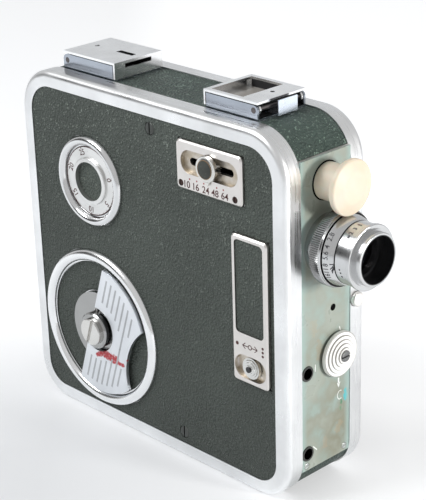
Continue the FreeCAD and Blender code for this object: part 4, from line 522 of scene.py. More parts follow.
def stepped_metal():
    """Frosted nearly white metal with a thin dark line of painted shade along each step of the release."""
    first_step, pitch = 0.00262, 0.00117
    skin = Finish("release disc", Metallic=0.4)
    turn = skin.math("DIVIDE", skin.minus(skin.radius(RELEASE_AXIS, ROUND_X), first_step), pitch)
    # painted shade: a thin dark line along each step
    line = skin.remap(skin.off(turn, skin.math("ROUND", turn)), 0.16, 0.07)
    worn = skin.effect("marks", Dirt=0.35)
    base = skin.layers(
        (0.90, 0.89, 0.87),
        (worn["Smudge"], (0.80, 0.79, 0.76)),
        (worn["Speck"], (0.30, 0.27, 0.22), 0.6),
        (line, (0.20, 0.19, 0.17), 0.8),
    )
    rub = skin.between(worn["Smudge"], 0.36, 0.5)
    return skin.wire(Base_Color=base, Roughness=rub, Normal=skin.tooth(3000.0, 2.0, 6e-6))


def lathe_silver(skin, silver, streaks, low, high, depth):
    """Bright metal with a lathe's fine circles and grains of dirt: wires its sheen, returns its colour."""
    worn = skin.effect("marks", Dirt=0.3)
    turned = skin.effect("turned", Axis_Point=LENS_AXIS, Across=ROUND_X)
    rub = skin.between(worn["Smudge"], low, high)
    skin.wire(Roughness=rub, Normal=skin.relief(turned["Height"], depth))
    dark = shade(silver, 0.6)
    return skin.layers(silver, (turned["Streak"], dark, streaks), (worn["Speck"], GREY_GRIME, 0.6))


def knurl_silver(silver):
    """Bright metal with painted shade: darkened over the knurl between its ridges, and a black line in the
    groove between the knurl and the number cone.
    """
    skin = Finish("aperture ring", Metallic=1.0)
    ahead = skin.axes()["X"]
    # painted shade: a black line in the narrow groove in front of the knurl
    behind = skin.math("GREATER_THAN", ahead, 0.06847)
    groove = skin.times(behind, skin.math("LESS_THAN", ahead, 0.06875))
    # painted shade: the knurl is darkened for the shade between its ridges
    knurl_shade = skin.remap(ahead, 0.0678, 0.0675)
    bare = lathe_silver(skin, silver, 0.12, 0.14, 0.22, 4e-6)
    layers = (knurl_shade, shade(silver, 0.45), 0.75), (groove, (0.02, 0.018, 0.018))
    return skin.wire(Base_Color=skin.layers(bare, *layers))


def barrel_silver(silver):
    """Polished outside, blackened inside the mouth and behind the wall."""
    mouth, wall = 0.00755, 0.0603
    skin = Finish("lens silver")
    out = skin.math("GREATER_THAN", skin.radius(LENS_AXIS, ROUND_X), mouth)
    shown = skin.times(out, skin.math("GREATER_THAN", skin.axes()["X"], wall))
    bare = lathe_silver(skin, silver, 0.14, 0.17, 0.27, 6e-6)
    return skin.wire(Base_Color=skin.tint(shown, INNER_BLACK, bare), Metallic=shown)


def lens_glass():
    """Coated optical glass, faintly violet, with a film of dust."""
    skin = Finish("coated glass", Transmission_Weight=1.0, IOR=1.52, Coat_Weight=0.4)
    edge = skin.add("ShaderNodeLayerWeight", {"Blend": 0.35}).outputs["Facing"]
    rub = skin.between(skin.effect("marks", Dirt=0.5)["Smudge"], 0.01, 0.06)
    return skin.wire(Base_Color=skin.tint(edge, (0.80, 0.82, 0.95), (0.62, 0.60, 0.80)), Roughness=rub)


def finder_glass():
    """Window glass under a film of dust."""
    skin = Finish("finder glass", Transmission_Weight=0.35, IOR=1.5)
    film = skin.remap(skin.speckle(skin.place(), 60.0, 3.0), 0.3, 0.7)
    rub = skin.between(skin.effect("marks", Dirt=0.7)["Smudge"], 0.08, 0.22)
    return skin.wire(Base_Color=skin.tint(film, (0.50, 0.47, 0.43), (0.62, 0.60, 0.56)), Roughness=rub)


def finder_chrome(name, colour, middle, half):
    """Chrome outside and black paint inside the folded box."""
    side, top = 0.0096, 0.1251
    skin = Finish(name)
    parts = skin.axes()
    inside = skin.math("LESS_THAN", skin.off(parts["X"], middle), half)
    for axis, limit in (("Y", side), ("Z", top)):
        inside = skin.times(inside, skin.math("LESS_THAN", skin.math("ABSOLUTE", parts[axis]), limit))
    worn = skin.effect("marks", Dirt=0.45)
    speck = (worn["Speck"], GREY_GRIME, 0.7)
    base = skin.layers(colour, (worn["Smudge"], shade(colour, 0.9)), speck, (inside, INNER_BLACK))
    rub = skin.math("MAXIMUM", skin.between(worn["Smudge"], 0.14, 0.22), skin.times(inside, 0.6))
    skin.wire(Base_Color=base, Metallic=skin.between(inside, 1.0, 0.0))
    return skin.wire(Roughness=rub, Normal=skin.scratched(worn))


def ivory_plastic(ivory):
    """Yellowed plastic with a dark spot of painted shade for a small hole near the rim."""
    yellowed = [channel * share for channel, share in zip(ivory, (0.97, 0.93, 0.82))]
    skin = Finish("ivory plastic", Subsurface_Weight=0.15, Subsurface_Scale=0.002)
    age = skin.remap(skin.speckle(skin.place(), 90.0, 4.0), 0.3, 0.75)
    # painted shade: a dark spot for the inside of a small hole
    hole = skin.streak((71.6, -4.9, 109.3), (71.6, -4.8, 109.4), 0.42, 0.3)
    worn = skin.effect("marks", Dirt=0.25)
    grime = (worn["Speck"], (0.45, 0.38, 0.26), 0.4)
    base = skin.layers(ivory, (age, yellowed), grime, (hole, (0.04, 0.035, 0.03)))
    rub = skin.between(worn["Smudge"], 0.36, 0.5)
    return skin.wire(Base_Color=base, Roughness=rub, Normal=skin.tooth(700.0, 3.0, 2e-5))


def pale_paper(colour, away, side):
    """White paper that glows a little to the camera, more at the back and on the right."""
    least, most, rise = 0.2, 0.61, 0.32
    skin = Finish("pale paper", Roughness=0.75, Specular_IOR_Level=0.25, Emission_Strength=1.0)
    tone = skin.tint(skin.speckle(skin.place(), 3.0, 2.0), colour, shade(colour, 0.985))
    rays = skin.add("ShaderNodeLightPath").outputs
    shown = skin.plus(rays["Is Camera Ray"], skin.times(rays["Is Glossy Ray"], 0.5))
    glow = least
    for direction, low, high in ((away, -0.015, 0.075), (side, -0.05, 0.07)):
        reach = skin.vector("DOT_PRODUCT", skin.place(), direction)
        glow = skin.plus(glow, skin.remap(reach, low, high, 0.0, rise))
    glow = skin.times(skin.math("MINIMUM", glow, most), shown)
    white = skin.add("ShaderNodeCombineColor", {0: glow, 1: glow, 2: glow}).outputs[0]
    tone = skin.tint(rays["Is Camera Ray"], tone, (0.55, 0.56, 0.575))
    return skin.wire(Base_Color=tone, Emission_Color=white)


def dress(material, *names):
    """Gives CAD nodes their finish."""
    for name in names:
        for slot in NODES[name].material_slots:
            slot.material = material


def to_mesh(name, shapes):
    """Turns gathered faces into a mesh."""
    mesh = bpy.data.meshes.new(name)
    shapes.to_mesh(mesh)
    shapes.free()
    return mesh


def stand(name, data, material=None):
    """An object in the scene: a mesh with its material, a lamp or a camera."""
    if material is not None:
        data.materials.append(material)
    item = bpy.data.objects.new(name, data)
    bpy.context.scene.collection.objects.link(item)
    return item


def ray(degrees, reach=1.0):
    """A step in a face, turned from its first direction."""
    return Vector((math.cos(math.radians(degrees)), math.sin(math.radians(degrees)))) * reach


def on_side(axis):
    """Where an axis meets the winder side, in millimetres."""
    return Vector((axis.x, axis.z)) / MM


def bridge(shapes, first, second):
    """Joins two circles of points with faces."""
    for i in range(len(first)):
        j = (i + 1) % len(first)
        shapes.faces.new((first[i], first[j], second[j], second[i]))


class Marks:
    """Flat figures and strokes gathered in a face's own two directions, in millimetres."""

    def __init__(self):
        self.shapes = bmesh.new()

    def figures(self, words, size, at, turn=0.0, heavy=0.0):
        """Plain figures centred on a point."""
        curve = bpy.data.curves.new("figures", "FONT")
        curve.body = words
        curve.size = size
        curve.align_x = "CENTER"
        curve.align_y = "CENTER"
        curve.offset = heavy
        writer = bpy.data.objects.new("figures", curve)
        drawn = bpy.data.meshes.new_from_object(writer)
        drawn.transform(Matrix.Translation((*at, 0.0)) @ Matrix.Rotation(math.radians(turn), 4, "Z"))
        self.shapes.from_mesh(drawn)
        bpy.data.meshes.remove(drawn)
        bpy.data.objects.remove(writer)
        bpy.data.curves.remove(curve)

    def points(self, places):
        return [self.shapes.verts.new((*place, 0.0)) for place in places]

    def stroke(self, points, width):
        """A line of even width through the points."""
        for start, end in zip(points, points[1:]):
            a, b = Vector(start), Vector(end)
            side = (b - a).normalized().orthogonal() * width / 2
            along = (b - a).normalized() * width * 0.2
            corners = (a - along - side, b + along - side, b + along + side, a - along + side)
            self.shapes.faces.new(self.points(corners))

    def disc(self, at, radius, hole=0.0, steps=28):
        """A dot, or a ring where it has a hole."""
        turns = [360.0 * i / steps for i in range(steps)]
        outer = self.points(Vector(at) + ray(turn, radius) for turn in turns)
        if hole:
            bridge(self.shapes, outer, self.points(Vector(at) + ray(turn, hole) for turn in turns))
        else:
            self.shapes.faces.new(outer)

    def lay(self, name, body, material, lift):
        """Raises the figures into a thin solid, bends it onto the surface and fixes it to a body."""
        shapes = self.shapes
        bmesh.ops.remove_doubles(shapes, verts=shapes.verts, dist=1e-5)
        for item in bmesh.ops.extrude_face_region(shapes, geom=list(shapes.faces))["geom"]:
            if isinstance(item, bmesh.types.BMVert):
                item.co.z = RAISED
        for vertex in shapes.verts:
            vertex.co = lift(*vertex.co) * MM
        bmesh.ops.recalc_face_normals(shapes, faces=shapes.faces)
        piece = stand(name, to_mesh(name, shapes), material)
        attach(piece, body)


def near_side(level):
    """Lays marks on a face square to Y that looks to the winder side; level is its Y."""
    return lambda x, z, up: Vector((x, level - up + SUNK, z))


def front(level):
    """Lays marks on a face square to X that looks forwards; level is its X."""
    return lambda y, z, up: Vector((level + up - SUNK, y, z))


def topside(level):
    """Lays marks flush with a face square to Z that looks upwards; level is its Z."""
    return lambda x, y, up: Vector((x, y, level + up - RAISED))


def round_lens(rear, ahead, rear_radius, front_radius):
    """Lays marks round the lens: the first direction climbs its near side, the second looks back."""
    start = math.radians(187.0)
    middle = (rear_radius + front_radius) / 2

    def lift(climb, back, up):
        x = (rear + ahead) / 2 - back
        radius = rear_radius + (front_radius - rear_radius) * (x - rear) / (ahead - rear) + up - SUNK
        turn = start - climb / middle
        return Vector((x, radius * math.cos(turn), radius * math.sin(turn) + LENS_AXIS.z / MM))

    return lift


def half_round(middle, half, foot, height):
    """Profile of a ring with a rounded back: its middle radius, half width, foot level and height."""
    arc = [math.radians(angle) for angle in range(0, 181, 12)]
    back = [(foot + height * math.sin(t), middle + half * math.cos(t), 0.0) for t in arc]
    outer, lip = middle + half, middle - half - 0.3
    return [(RING_SEAT, outer, 0.0), *back, (foot, lip, 0.0), (RING_SEAT, lip, 0.0)]


def turned_ring(name, profile, steps, centre, body, material, forwards=False):
    """A hollow ring on a body that faces the winder side, or forwards.

    The profile is a row of points: level, radius and depth of the ridges.
    """
    solid = bmesh.new()
    rows = []
    for level, radius, depth in profile:
        row = []
        for i in range(steps):
            turn = 2 * math.pi * i / steps
            reach = radius - depth * (i % 2)
            right, high = reach * math.cos(turn), reach * math.sin(turn)
            spot = Vector((level, right, high)) if forwards else Vector((right, -level, high))
            row.append(solid.verts.new(spot * MM + centre))
        rows.append(row)
    for first, second in zip(rows, rows[1:] + rows[:1]):
        bridge(solid, first, second)
    bmesh.ops.recalc_face_normals(solid, faces=solid.faces)
    mesh = to_mesh(name, solid)
    mesh.shade_smooth()
    mesh.set_sharp_from_angle(angle=math.radians(35))
    piece = stand(name, mesh, material)
    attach(piece, body)
    return piece


class Coverings(bpy.types.Operator):
    """Grained leatherette on both sides, round the band and in the plates"""

    bl_idname = "moviecam.coverings"
    bl_label = "Coverings"

    def execute(self, context):
        sizes = context.scene.moviecam_covering
        # the second colour of each covering is for its scratches and its light pebble tops; the tops are
        # partly wear and partly painted highlight
        side = leatherette("side leatherette", sizes.side, (0.20, 0.23, 0.20), 0.5, sizes)
        dress(side, "side_leather", "door_leather", "mode_inlay", "dish_leather")
        pale = shade(sizes.side, 1.3)
        dress(leatherette("dial leatherette", pale, (0.24, 0.27, 0.22), 0.5, sizes), "dial_inlay")
        dress(leatherette("band leatherette", sizes.band, (0.20, 0.28, 0.23), 0.42, sizes), "band_leather")
        return {"FINISHED"}


class CastingAndRims(bpy.types.Operator):
    """Casting, worn side rims and the screws of the side cover"""

    bl_idname = "moviecam.rims"
    bl_label = "Casting and Rims"

    def execute(self, context):
        sizes = context.scene.moviecam_metal
        dress(worn_rim(sizes), "side_cover", "film_door")
        dress(casting_metal(sizes.satin), "body_casting", "mechanism_plate")
        dress(metal("cover screw steel", (0.10, 0.105, 0.10), 0.5, dirt=0.5), "cover_screws")
        return {"FINISHED"}


class Winder(bpy.types.Operator):
    """Winder ring, hub, big screw and the ribbed wing with its smear of red paint"""

    bl_idname = "moviecam.winder"
    bl_label = "Winder"

    def execute(self, context):
        sizes = context.scene.moviecam_metal
        bright = metal("winder ring", sizes.bright, 0.18, WINDER_AXIS, dirt=0.2)
        profile = half_round(25.95, 1.95, 17.2, 1.85)
        ring = turned_ring("rounded_winder_ring", profile, 128, WINDER_AXIS, "camera", bright)
        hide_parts("winder_ring")
        hub = metal("hub steel", (0.38, 0.38, 0.375), 0.15, WINDER_AXIS, dirt=0.6)
        dress(hub, "winder_hub", "winding_arbor")
        dress(metal("big screw", (0.68, 0.67, 0.65), 0.22, WINDER_AXIS, dirt=0.7), "winder_screw")
        dress(metal("hinge pin steel", (0.52, 0.51, 0.5), 0.3, dirt=0.6), "wing_pin")
        dress(wing_silver(sizes.wing, context.scene.moviecam_paint.smear), "winder_wing")
        self.grooves()
        return {"FINISHED"}

    def grooves(self):
        """Grey fill of the wing's seven grip grooves, on either side of its hub."""
        pitch, first, width = 2.42, -0.1, 0.7
        rim, hub, notch = 20.5, 11.5, 7.0
        across, along = ray(-18.5), ray(71.5)
        grooves = Marks()
        for number in range(7):
            reach = pitch * number + first
            far = math.sqrt(rim**2 - reach**2)
            near = notch if number == 6 else math.sqrt(max(0.0, hub**2 - reach**2))
            for way in (-1, 1):
                ends = [on_side(WINDER_AXIS) + across * reach + along * (way * t) for t in (near, far)]
                grooves.stroke(ends, width)
        grey = plain("groove grey", (0.43, 0.44, 0.46), 0.6, 0.2, 0.3)
        grooves.lay("wing_grooves", "wing", grey, near_side(-19.2))


class Counter(bpy.types.Operator):
    """Film counter: bezel, dial, its figures and index mark"""

    bl_idname = "moviecam.counter"
    bl_label = "Film Counter"

    def execute(self, context):
        middle, bezel, half, foot, height = on_side(COUNTER_AXIS), 13.8, 1.6, 17.0, 1.95
        # painted shade: the bezel metal is the rim metal darkened for the shading on its rounded back
        silver = shade(context.scene.moviecam_metal.bright, 0.84)
        bright = metal("counter bezel", silver, 0.13, COUNTER_AXIS, dirt=0.2)
        profile = half_round(bezel, half, foot, height)
        ring = turned_ring("rounded_bezel", profile, 96, COUNTER_AXIS, "camera", bright)
        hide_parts("counter_bezel")
        dial = metal("dial silver", (0.71, 0.71, 0.70), 0.34, COUNTER_AXIS, dirt=0.9, lines=1500.0)
        dress(dial, "counter_dial")
        dress(metal("dial clip", (0.5, 0.5, 0.48), 0.3), "dial_clip")
        self.scale(middle, ink_finish(context))

        def on_bezel(x, z, up):
            """Onto the rounded back of the bezel."""
            away = (Vector((x, z)) - middle).length - bezel
            return near_side(-foot - height * math.sqrt(1.0 - (away / half) ** 2))(x, z, up)

        index = Marks()
        index.stroke((middle + ray(60.0, 12.5), middle + ray(60.0, 13.1)), 0.45)
        index.lay("counter_index", "camera", ink_finish(context), on_bezel)
        return {"FINISHED"}

    def scale(self, middle, ink):
        """Figures 0 to 25, long marks at each, short ones between them, and a dark ring of painted shade in
        the gap at the dial's edge.
        """
        start, apart = 15.0, 53.0
        marks = Marks()
        for number in range(6):
            angle = start - apart * number
            marks.figures(str(number * 5), 2.8, middle + ray(angle, 9.75), angle - 90.0, 0.02)
            marks.stroke((middle + ray(angle, 11.0), middle + ray(angle, 11.6)), 0.28)
            for step in range(1, 5 if number < 5 else 1):
                small = angle - apart * step / 5
                marks.stroke((middle + ray(small, 11.2), middle + ray(small, 11.55)), 0.14)
        # painted shade: a dark ring for the gap between the dial and the bezel
        marks.disc(middle, 11.7, 11.45, 72)
        marks.lay("counter_figures", "dial", ink, near_side(-17.35))


class SpeedPlate(bpy.types.Operator):
    """Speed plate with its sliding knob, screws, figures and dots"""

    bl_idname = "moviecam.speed"
    bl_label = "Speed Plate"

    def execute(self, context):
        silver = context.scene.moviecam_metal.satin
        dress(plate_silver("speed plate", silver, (29.8, 104.1), (12.6, 4.9)), "speed_plate")
        dress(plate_silver("switch plate", silver, (46.25, 43.8), (6.3, 4.6)), "mode_plate")
        dress(metal("speed knob", (0.70, 0.69, 0.66), 0.2, SPEED_KNOB, dirt=0.7), "speed_knob")
        dress(metal("small screws", (0.07, 0.045, 0.04), 0.45, dirt=0.5), "speed_plate_screws")
        figures, dots, face, rust = Marks(), Marks(), Marks(), Marks()
        for number, x, dot in (
            ("10", 20.3, 21.7),
            ("16", 24.2, 24.8),
            ("24", 28.6, 27.9),
            ("48", 32.6, 33.4),
            ("64", 36.7, 36.2),
        ):
            figures.figures(number, 3.1, (x, 97.4), 0.0, 0.03)
            dots.disc((dot, 99.45), 0.28)
        figures.lay("speed_figures", "camera", ink_finish(context), near_side(-18.35))
        dots.lay("speed_dots", "camera", plain("dot red", (0.30, 0.03, 0.03), 0.5), near_side(-18.35))
        middle, inner, outer = on_side(SPEED_KNOB), 2.85, 3.05
        face.disc(middle, inner)
        dark = plain("knob face", (0.045, 0.05, 0.042), 0.6, 0.5, 0.9)
        face.lay("knob_face", "speed_switch", dark, near_side(-20.15))
        rust.disc(middle, outer, inner)
        brown = plain("old glue", (0.26, 0.16, 0.08), 0.6)
        rust.lay("knob_face_edge", "speed_switch", brown, near_side(-20.14))
        return {"FINISHED"}


class SwitchPlate(bpy.types.Operator):
    """Sliding switch with its screw, and direction marks on the long plate"""

    bl_idname = "moviecam.switch"
    bl_label = "Switch Plate"

    def execute(self, context):
        dress(metal("switch knob", (0.66, 0.66, 0.64), 0.2, SWITCH_KNOB, dirt=0.5), "mode_knob")
        dress(metal("switch screw", (0.06, 0.06, 0.06), 0.3, SWITCH_KNOB, dirt=0.4), "mode_screw")
        x, z, line, barb, aside = 46.25, 51.0, 0.28, 0.95, 5.4
        marks = Marks()
        for way in (-1, 1):
            tip = x + way * 3.1
            foot = tip - way * 1.1
            marks.stroke(((x + way * 0.85, z), (tip, z)), line)
            marks.stroke(((foot, z + barb), (tip, z), (foot, z - barb)), line)
        marks.disc((x, z), 0.85, 0.57)
        marks.disc((x - aside, z), 0.62)
        for step in (-1.3, 0.0, 1.3):
            marks.disc((x + aside, z + step), 0.45)
        marks.lay("switch_marks", "camera", ink_finish(context), near_side(-18.65))
        return {"FINISHED"}


class FrontPlate(bpy.types.Operator):
    """Painted front plate with its stains, cable sockets, screws and marks"""

    bl_idname = "moviecam.front"
    bl_label = "Front Plate"

    def execute(self, context):
        dress(aqua_enamel(context.scene.moviecam_paint.plate), "front_plate")
        dress(metal("socket metal", (0.09, 0.09, 0.085), 0.3, dirt=0.4), "cable_sockets")
        dress(metal("front screws", (0.62, 0.64, 0.62), 0.3, dirt=0.6), "front_plate_screws")
        white = plain("white mark paint", (0.80, 0.82, 0.79), 0.45, 0.1, 0.3)
        marks = Marks()
        marks.figures("1", 3.4, (-4.8, 43.6), 0.0, 0.02)
        marks.stroke(((-5.9, 16.9), (-4.2, 15.2)), 0.35)
        marks.stroke(((6.2, 54.0), (6.7, 52.6), (7.0, 51.3)), 0.4)
        marks.stroke(((5.9, 36.4), (5.9, 34.4)), 0.6)
        marks.figures("v", 3.2, (5.9, 34.3), 0.0, 0.1)
        bend = [ray(angle) for angle in range(60, 301, 24)]
        marks.stroke([(6.6 + 1.2 * out.x, 30.3 + 1.5 * out.y) for out in bend], 0.3)
        marks.lay("front_marks", "camera", white, front(FRONT_FACE))
        # painted shade: a black dot for the dark inside of a small hole, and a black ring for the shadow in
        # the gap round the plug's stem
        painted_shade = Marks()
        painted_shade.disc((3.26, 61.5), 1.12)
        painted_shade.disc((0.2, 103.4), 6.15, 5.6)
        black = plain("pit black", (0.006, 0.006, 0.006), 0.9, dirt=0.0, Specular_IOR_Level=0.0)
        painted_shade.lay("front_painted_shade", "camera", black, front(FRONT_FACE))
        return {"FINISHED"}


class Release(bpy.types.Operator):
    """Stepped release disc with its screw and slide, and the door's latch button"""

    bl_idname = "moviecam.release"
    bl_label = "Release"

    def execute(self, context):
        dress(stepped_metal(), "release_disc")
        dress(metal("release screw", (0.22, 0.22, 0.22), 0.3, dirt=0.6), "release_screw")
        dress(plain("slide black", (0.02, 0.02, 0.021), 0.5), "release_slide")
        dress(metal("latch chrome", (0.88, 0.86, 0.83), 0.3, dirt=0.3), "door_button")
        return {"FINISHED"}


class Lens(bpy.types.Operator):
    """Lens barrel, aperture ring with its figures, glass and blackened inside"""

    bl_idname = "moviecam.lens"
    bl_label = "Lens"

    def execute(self, context):
        # painted shade: the lens metal is the rim metal darkened, to hold back the strong right lamp on it
        silver = shade(context.scene.moviecam_metal.bright, 0.7)
        dress(barrel_silver(silver), "lens_barrel")
        bright, knurl = knurl_silver(silver), 0.28
        profile = (
            (64.3, 8.1, 0.0), (64.3, 11.7, 0.0), (64.5, 11.95, knurl), (67.6, 11.95, knurl),
            (67.8, 11.6, 0.0), (68.35, 11.6, 0.0), (68.5, 11.45, 0.0), (68.5, 10.6, 0.0),
            (68.72, 10.6, 0.0), (68.72, 10.97, 0.0), (72.1, 9.95, 0.0), (72.2, 9.85, 0.0), (72.2, 8.1, 0.0),
        )
        ring = turned_ring("knurled_ring", profile, 220, LENS_AXIS, "aperture", bright, forwards=True)
        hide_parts("aperture_ring")
        dress(lens_glass(), "front_lens", "rear_lens")
        dress(plain("lens black", INNER_BLACK, 0.45), "iris_plate", "shutter_cover", "pressure_plate")
        self.scales(plain("lens figures", (0.03, 0.03, 0.035), 0.45, 0.3, 0.3))
        return {"FINISHED"}

    def scales(self, black):
        """Aperture figures and index lines on the ring, distance figures and dots on the barrel."""
        stops, distances = Marks(), Marks()
        for number, climb in zip(("16", "11", "8", "5.6", "4", "2.8"), (-4.0, -1.9, 0.0, 2.9, 5.5, 8.5)):
            stops.figures(number, 2.15, (climb, 0.75), 0.0, 0.01)
        hooks = (0.7, 0.4, 1.25), (0.3, -1.2, 1.2), (-0.3, -1.9, 0.9), (-0.8, -2.6, 0.8)
        for inner, outer, rise in hooks:
            stops.stroke(((inner, -1.7), ((inner + outer) / 2, -1.3), (outer, -1.75 + rise)), 0.3)
        stops.lay("aperture_figures", "aperture", black, round_lens(68.8, 72.2, 10.95, 9.92))
        for number, climb in (("1", 8.4), ("2", 11.2), ("3", 13.2), ("5", 15.4)):
            distances.figures(number, 1.9, (climb, 0.0), 0.0, 0.05)
        distances.stroke(((9.5, 0.0), (10.3, 0.0)), 0.7)
        for climb, back, size in ((-0.6, 0.5, 0.28), (-1.7, 0.3, 0.3), (-3.0, 0.1, 0.32), (4.6, 0.6, 0.2)):
            distances.disc((climb, back), size)
        distances.lay("distance_figures", "camera", black, round_lens(72.5, 77.0, 9.8, 9.8))


class Plug(bpy.types.Operator):
    """Ivory plug in the socket above the lens"""

    bl_idname = "moviecam.plug"
    bl_label = "Socket Plug"

    def execute(self, context):
        dress(ivory_plastic(context.scene.moviecam_paint.ivory), "plug")
        return {"FINISHED"}


class Finders(bpy.types.Operator):
    """Folding finders: brackets, cover with its slot, window frame, glass, pins and spring tab"""

    bl_idname = "moviecam.finders"
    bl_label = "Folding Finders"

    def execute(self, context):
        # painted reflection: the bases are a dark blue-grey chrome, for the dark reflections on their
        # flanges
        reflection_blue, bright = (0.36, 0.39, 0.44), context.scene.moviecam_metal.bright
        fore, rear = (0.03225, 0.01), (-0.03345, 0.0115)
        dress(finder_chrome("front finder base", reflection_blue, *fore), "front_finder_base")
        dress(finder_chrome("front finder frame", bright, *fore), "front_finder_frame")
        dress(finder_chrome("rear finder base", reflection_blue, *rear), "rear_finder_base")
        dress(finder_chrome("rear finder cover", bright, *rear), "rear_finder_cover")
        pins = metal("finder pins", (0.12, 0.11, 0.11), 0.35, dirt=0.6)
        dress(pins, "rear_finder_pin", "front_finder_pin")
        dress(metal("finder spring", (0.74, 0.80, 0.90), 0.22, dirt=0.3), "front_finder_spring")
        dress(finder_glass(), "front_finder_glass")
        # painted shade: a black strip for the dark inside of the cover's slot
        slot = Marks()
        slot.stroke(((-30.4, 1.1), (-23.5, 1.1)), 1.3)
        black = plain("slot black", (0.01, 0.01, 0.01), 0.7)
        slot.lay("rear_finder_slot", "rear_flap", black, topside(126.1))
        return {"FINISHED"}


class Works(bpy.types.Operator):
    """Brass train, steel springs and film parts inside"""

    bl_idname = "moviecam.works"
    bl_label = "Works"

    def execute(self, context):
        brass = metal("works brass", (0.62, 0.47, 0.20), 0.28, dirt=0.3)
        dress(brass, "spring_barrel", "train_wheel", "crank_wheel")
        dress(metal("blued spring", (0.24, 0.27, 0.34), 0.3, dirt=0.2), "mainspring", "claw_shutter")
        steel = metal("gate steel", (0.60, 0.60, 0.60), 0.25)
        dress(steel, "film_gate", "tripod_bush", "mechanism_posts")
        dress(plain("spindle black", (0.02, 0.02, 0.022), 0.4), "takeup_spindle", "feed_spindle")
        return {"FINISHED"}


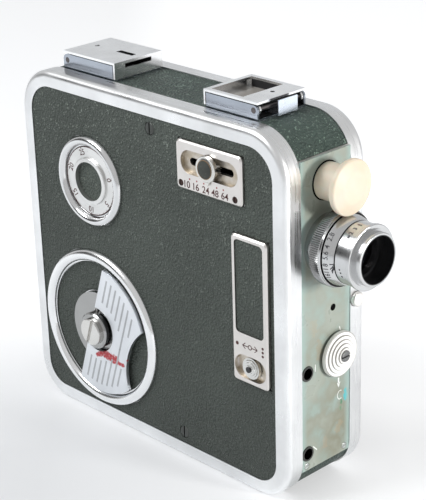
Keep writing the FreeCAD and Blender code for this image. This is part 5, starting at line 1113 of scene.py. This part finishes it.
class Studio(bpy.types.Operator):
    """Pale sweep of paper, soft lamps and the picture's camera"""

    bl_idname = "moviecam.studio"
    bl_label = "Studio"

    def execute(self, context):
        sizes = context.scene.moviecam_studio
        self.paper(sizes.floor)
        self.room(context.scene, sizes.sky)
        self.screen("dark screen", (-0.80, -0.78, 0.42), 1.1, 0.62, 0.09)
        warm, cool = (1.0, 0.985, 0.96), (0.97, 0.985, 1.0)
        self.lamp("right lamp", (0.78, 0.18, 0.195), (0.06, 0.0, 0.085), 0.13, sizes.key, warm)
        self.lamp("left lamp", (-0.35, -0.55, 0.75), (-0.02, 0.0, 0.08), 0.45, sizes.fill, cool)
        self.camera(context.scene, sizes.focal)
        context.scene.view_settings.view_transform = "Standard"
        return {"FINISHED"}

    def paper(self, colour):
        """A floor that curves up into a wall behind."""
        near, bend, radius, top, half = -1.6, 1.7, 0.4, 2.2, 2.0
        away = Vector((-0.724, 0.690, 0.0))
        side = Vector((0.690, 0.724, 0.0))
        turns = [math.pi / 24 * i for i in range(1, 13)]
        curve = [(bend + radius * math.sin(t), radius - radius * math.cos(t)) for t in turns]
        sheet = bmesh.new()
        rows = []
        for reach, height in ((near, 0.0), (bend, 0.0), *curve, (bend + radius, top)):
            line = away * reach + Vector((0.0, 0.0, height))
            rows.append([sheet.verts.new(line + side * across) for across in (-half, half)])
        for first, second in zip(rows, rows[1:]):
            sheet.faces.new((first[0], first[1], second[1], second[0]))
        mesh = to_mesh("paper_sweep", sheet)
        mesh.shade_smooth()
        floor = stand("paper_sweep", mesh, pale_paper(colour, away, side))

    def screen(self, name, at, width, height, grey):
        """A standing dark sheet that only shows as a reflection in metal."""
        centre = Vector(at)
        side = Vector((-centre.y, centre.x, 0.0)).normalized() * (width / 2)
        rise = Vector((0.0, 0.0, height / 2))
        sheet = bmesh.new()
        corners = (centre - side - rise, centre + side - rise, centre + side + rise, centre - side + rise)
        sheet.faces.new([sheet.verts.new(corner) for corner in corners])
        skin = Finish(name, Base_Color=(0.0, 0.0, 0.0, 1.0), Roughness=1.0, Emission_Strength=1.0)
        skin.wire(Emission_Color=(grey, grey, grey, 1.0))
        dark = skin.wire(Alpha=skin.add("ShaderNodeLightPath").outputs["Is Glossy Ray"])
        board = stand(name, to_mesh(name, sheet), dark)

    def room(self, scene, strength):
        """Even light from all round, stronger in reflections than on the paper."""
        glossy = 0.66
        world = bpy.data.worlds.new("studio room")
        world.use_nodes = True
        world.node_tree.nodes.clear()
        sky = Wiring(world.node_tree)
        rays = sky.add("ShaderNodeLightPath").outputs
        seen = sky.math("MAXIMUM", rays["Is Camera Ray"], rays["Is Transmission Ray"])
        shine = sky.times(rays["Is Glossy Ray"], glossy - strength)
        power = sky.plus(sky.between(seen, strength, 1.0), shine)
        light = sky.add("ShaderNodeBackground", {"Color": (1.0, 1.0, 1.0, 1.0), "Strength": power})
        sky.add("ShaderNodeOutputWorld", {"Surface": light.outputs[0]})
        scene.world = world

    def lamp(self, name, at, target, size, power, colour):
        """A soft square lamp aimed at a point."""
        data = bpy.data.lights.new(name, "AREA")
        data.shape = "SQUARE"
        data.size = size
        data.energy = power
        data.color = colour
        lamp = stand(name, data)
        lamp.location = at
        lamp.rotation_euler = (Vector(target) - Vector(at)).to_track_quat("-Z", "Y").to_euler()

    def camera(self, scene, focal):
        """The picture's camera, level apart from a small roll."""
        around, above, roll = (math.radians(angle) for angle in (46.325, 22.468, -1.711))
        level = math.cos(above)
        back = Vector((math.sin(around) * level, -math.cos(around) * level, math.sin(above)))
        right = (-back).cross(Vector((0, 0, 1))).normalized()
        up = right.cross(-back)
        leaned = right * math.cos(roll) + up * math.sin(roll)
        raised = up * math.cos(roll) - right * math.sin(roll)
        data = bpy.data.cameras.new("picture camera")
        data.lens = focal
        data.sensor_width = 36.0
        data.sensor_fit = "AUTO"
        camera = stand("picture camera", data)
        turn = Matrix((leaned, raised, back)).transposed().to_4x4()
        camera.matrix_world = Matrix.Translation((0.3482, -0.3212, 0.2602)) @ turn
        scene.camera = camera


OPERATORS = (
    Coverings, CastingAndRims, Winder, Counter, SpeedPlate, SwitchPlate, FrontPlate,
    Release, Lens, Plug, Finders, Works, Studio,
)
SIZES = {
    "moviecam_covering": CoveringSizes,
    "moviecam_metal": MetalSizes,
    "moviecam_paint": PaintSizes,
    "moviecam_studio": StudioSizes,
}


class MovieCameraPanel(bpy.types.Panel):
    """Sizes, colours and building steps of the movie camera"""

    bl_idname = "VIEW3D_PT_moviecam"
    bl_label = "Movie Camera"
    bl_space_type = "VIEW_3D"
    bl_region_type = "UI"
    bl_category = "Movie Camera"

    def draw(self, context):
        for name, group in SIZES.items():
            column = self.layout.box().column()
            for key in group.__annotations__:
                column.prop(getattr(context.scene, name), key)
        for operator in OPERATORS:
            self.layout.operator(operator.bl_idname)


def register():
    for kind in (*SIZES.values(), *OPERATORS, MovieCameraPanel):
        bpy.utils.register_class(kind)
    for name, group in SIZES.items():
        setattr(bpy.types.Scene, name, bpy.props.PointerProperty(type=group))


def unregister():
    for name in SIZES:
        delattr(bpy.types.Scene, name)
    for kind in (MovieCameraPanel, *reversed(OPERATORS), *reversed(SIZES.values())):
        bpy.utils.unregister_class(kind)


def main():
    register()
    EFFECTS["grain"] = leatherette_grain()
    EFFECTS["turned"] = turned_lines()
    EFFECTS["marks"] = handling_marks()
    EFFECTS["streak"] = streak_mask()
    for operator in OPERATORS:
        getattr(bpy.ops.moviecam, operator.bl_idname.split(".")[1])()


if __name__ == "__main__":
    main()
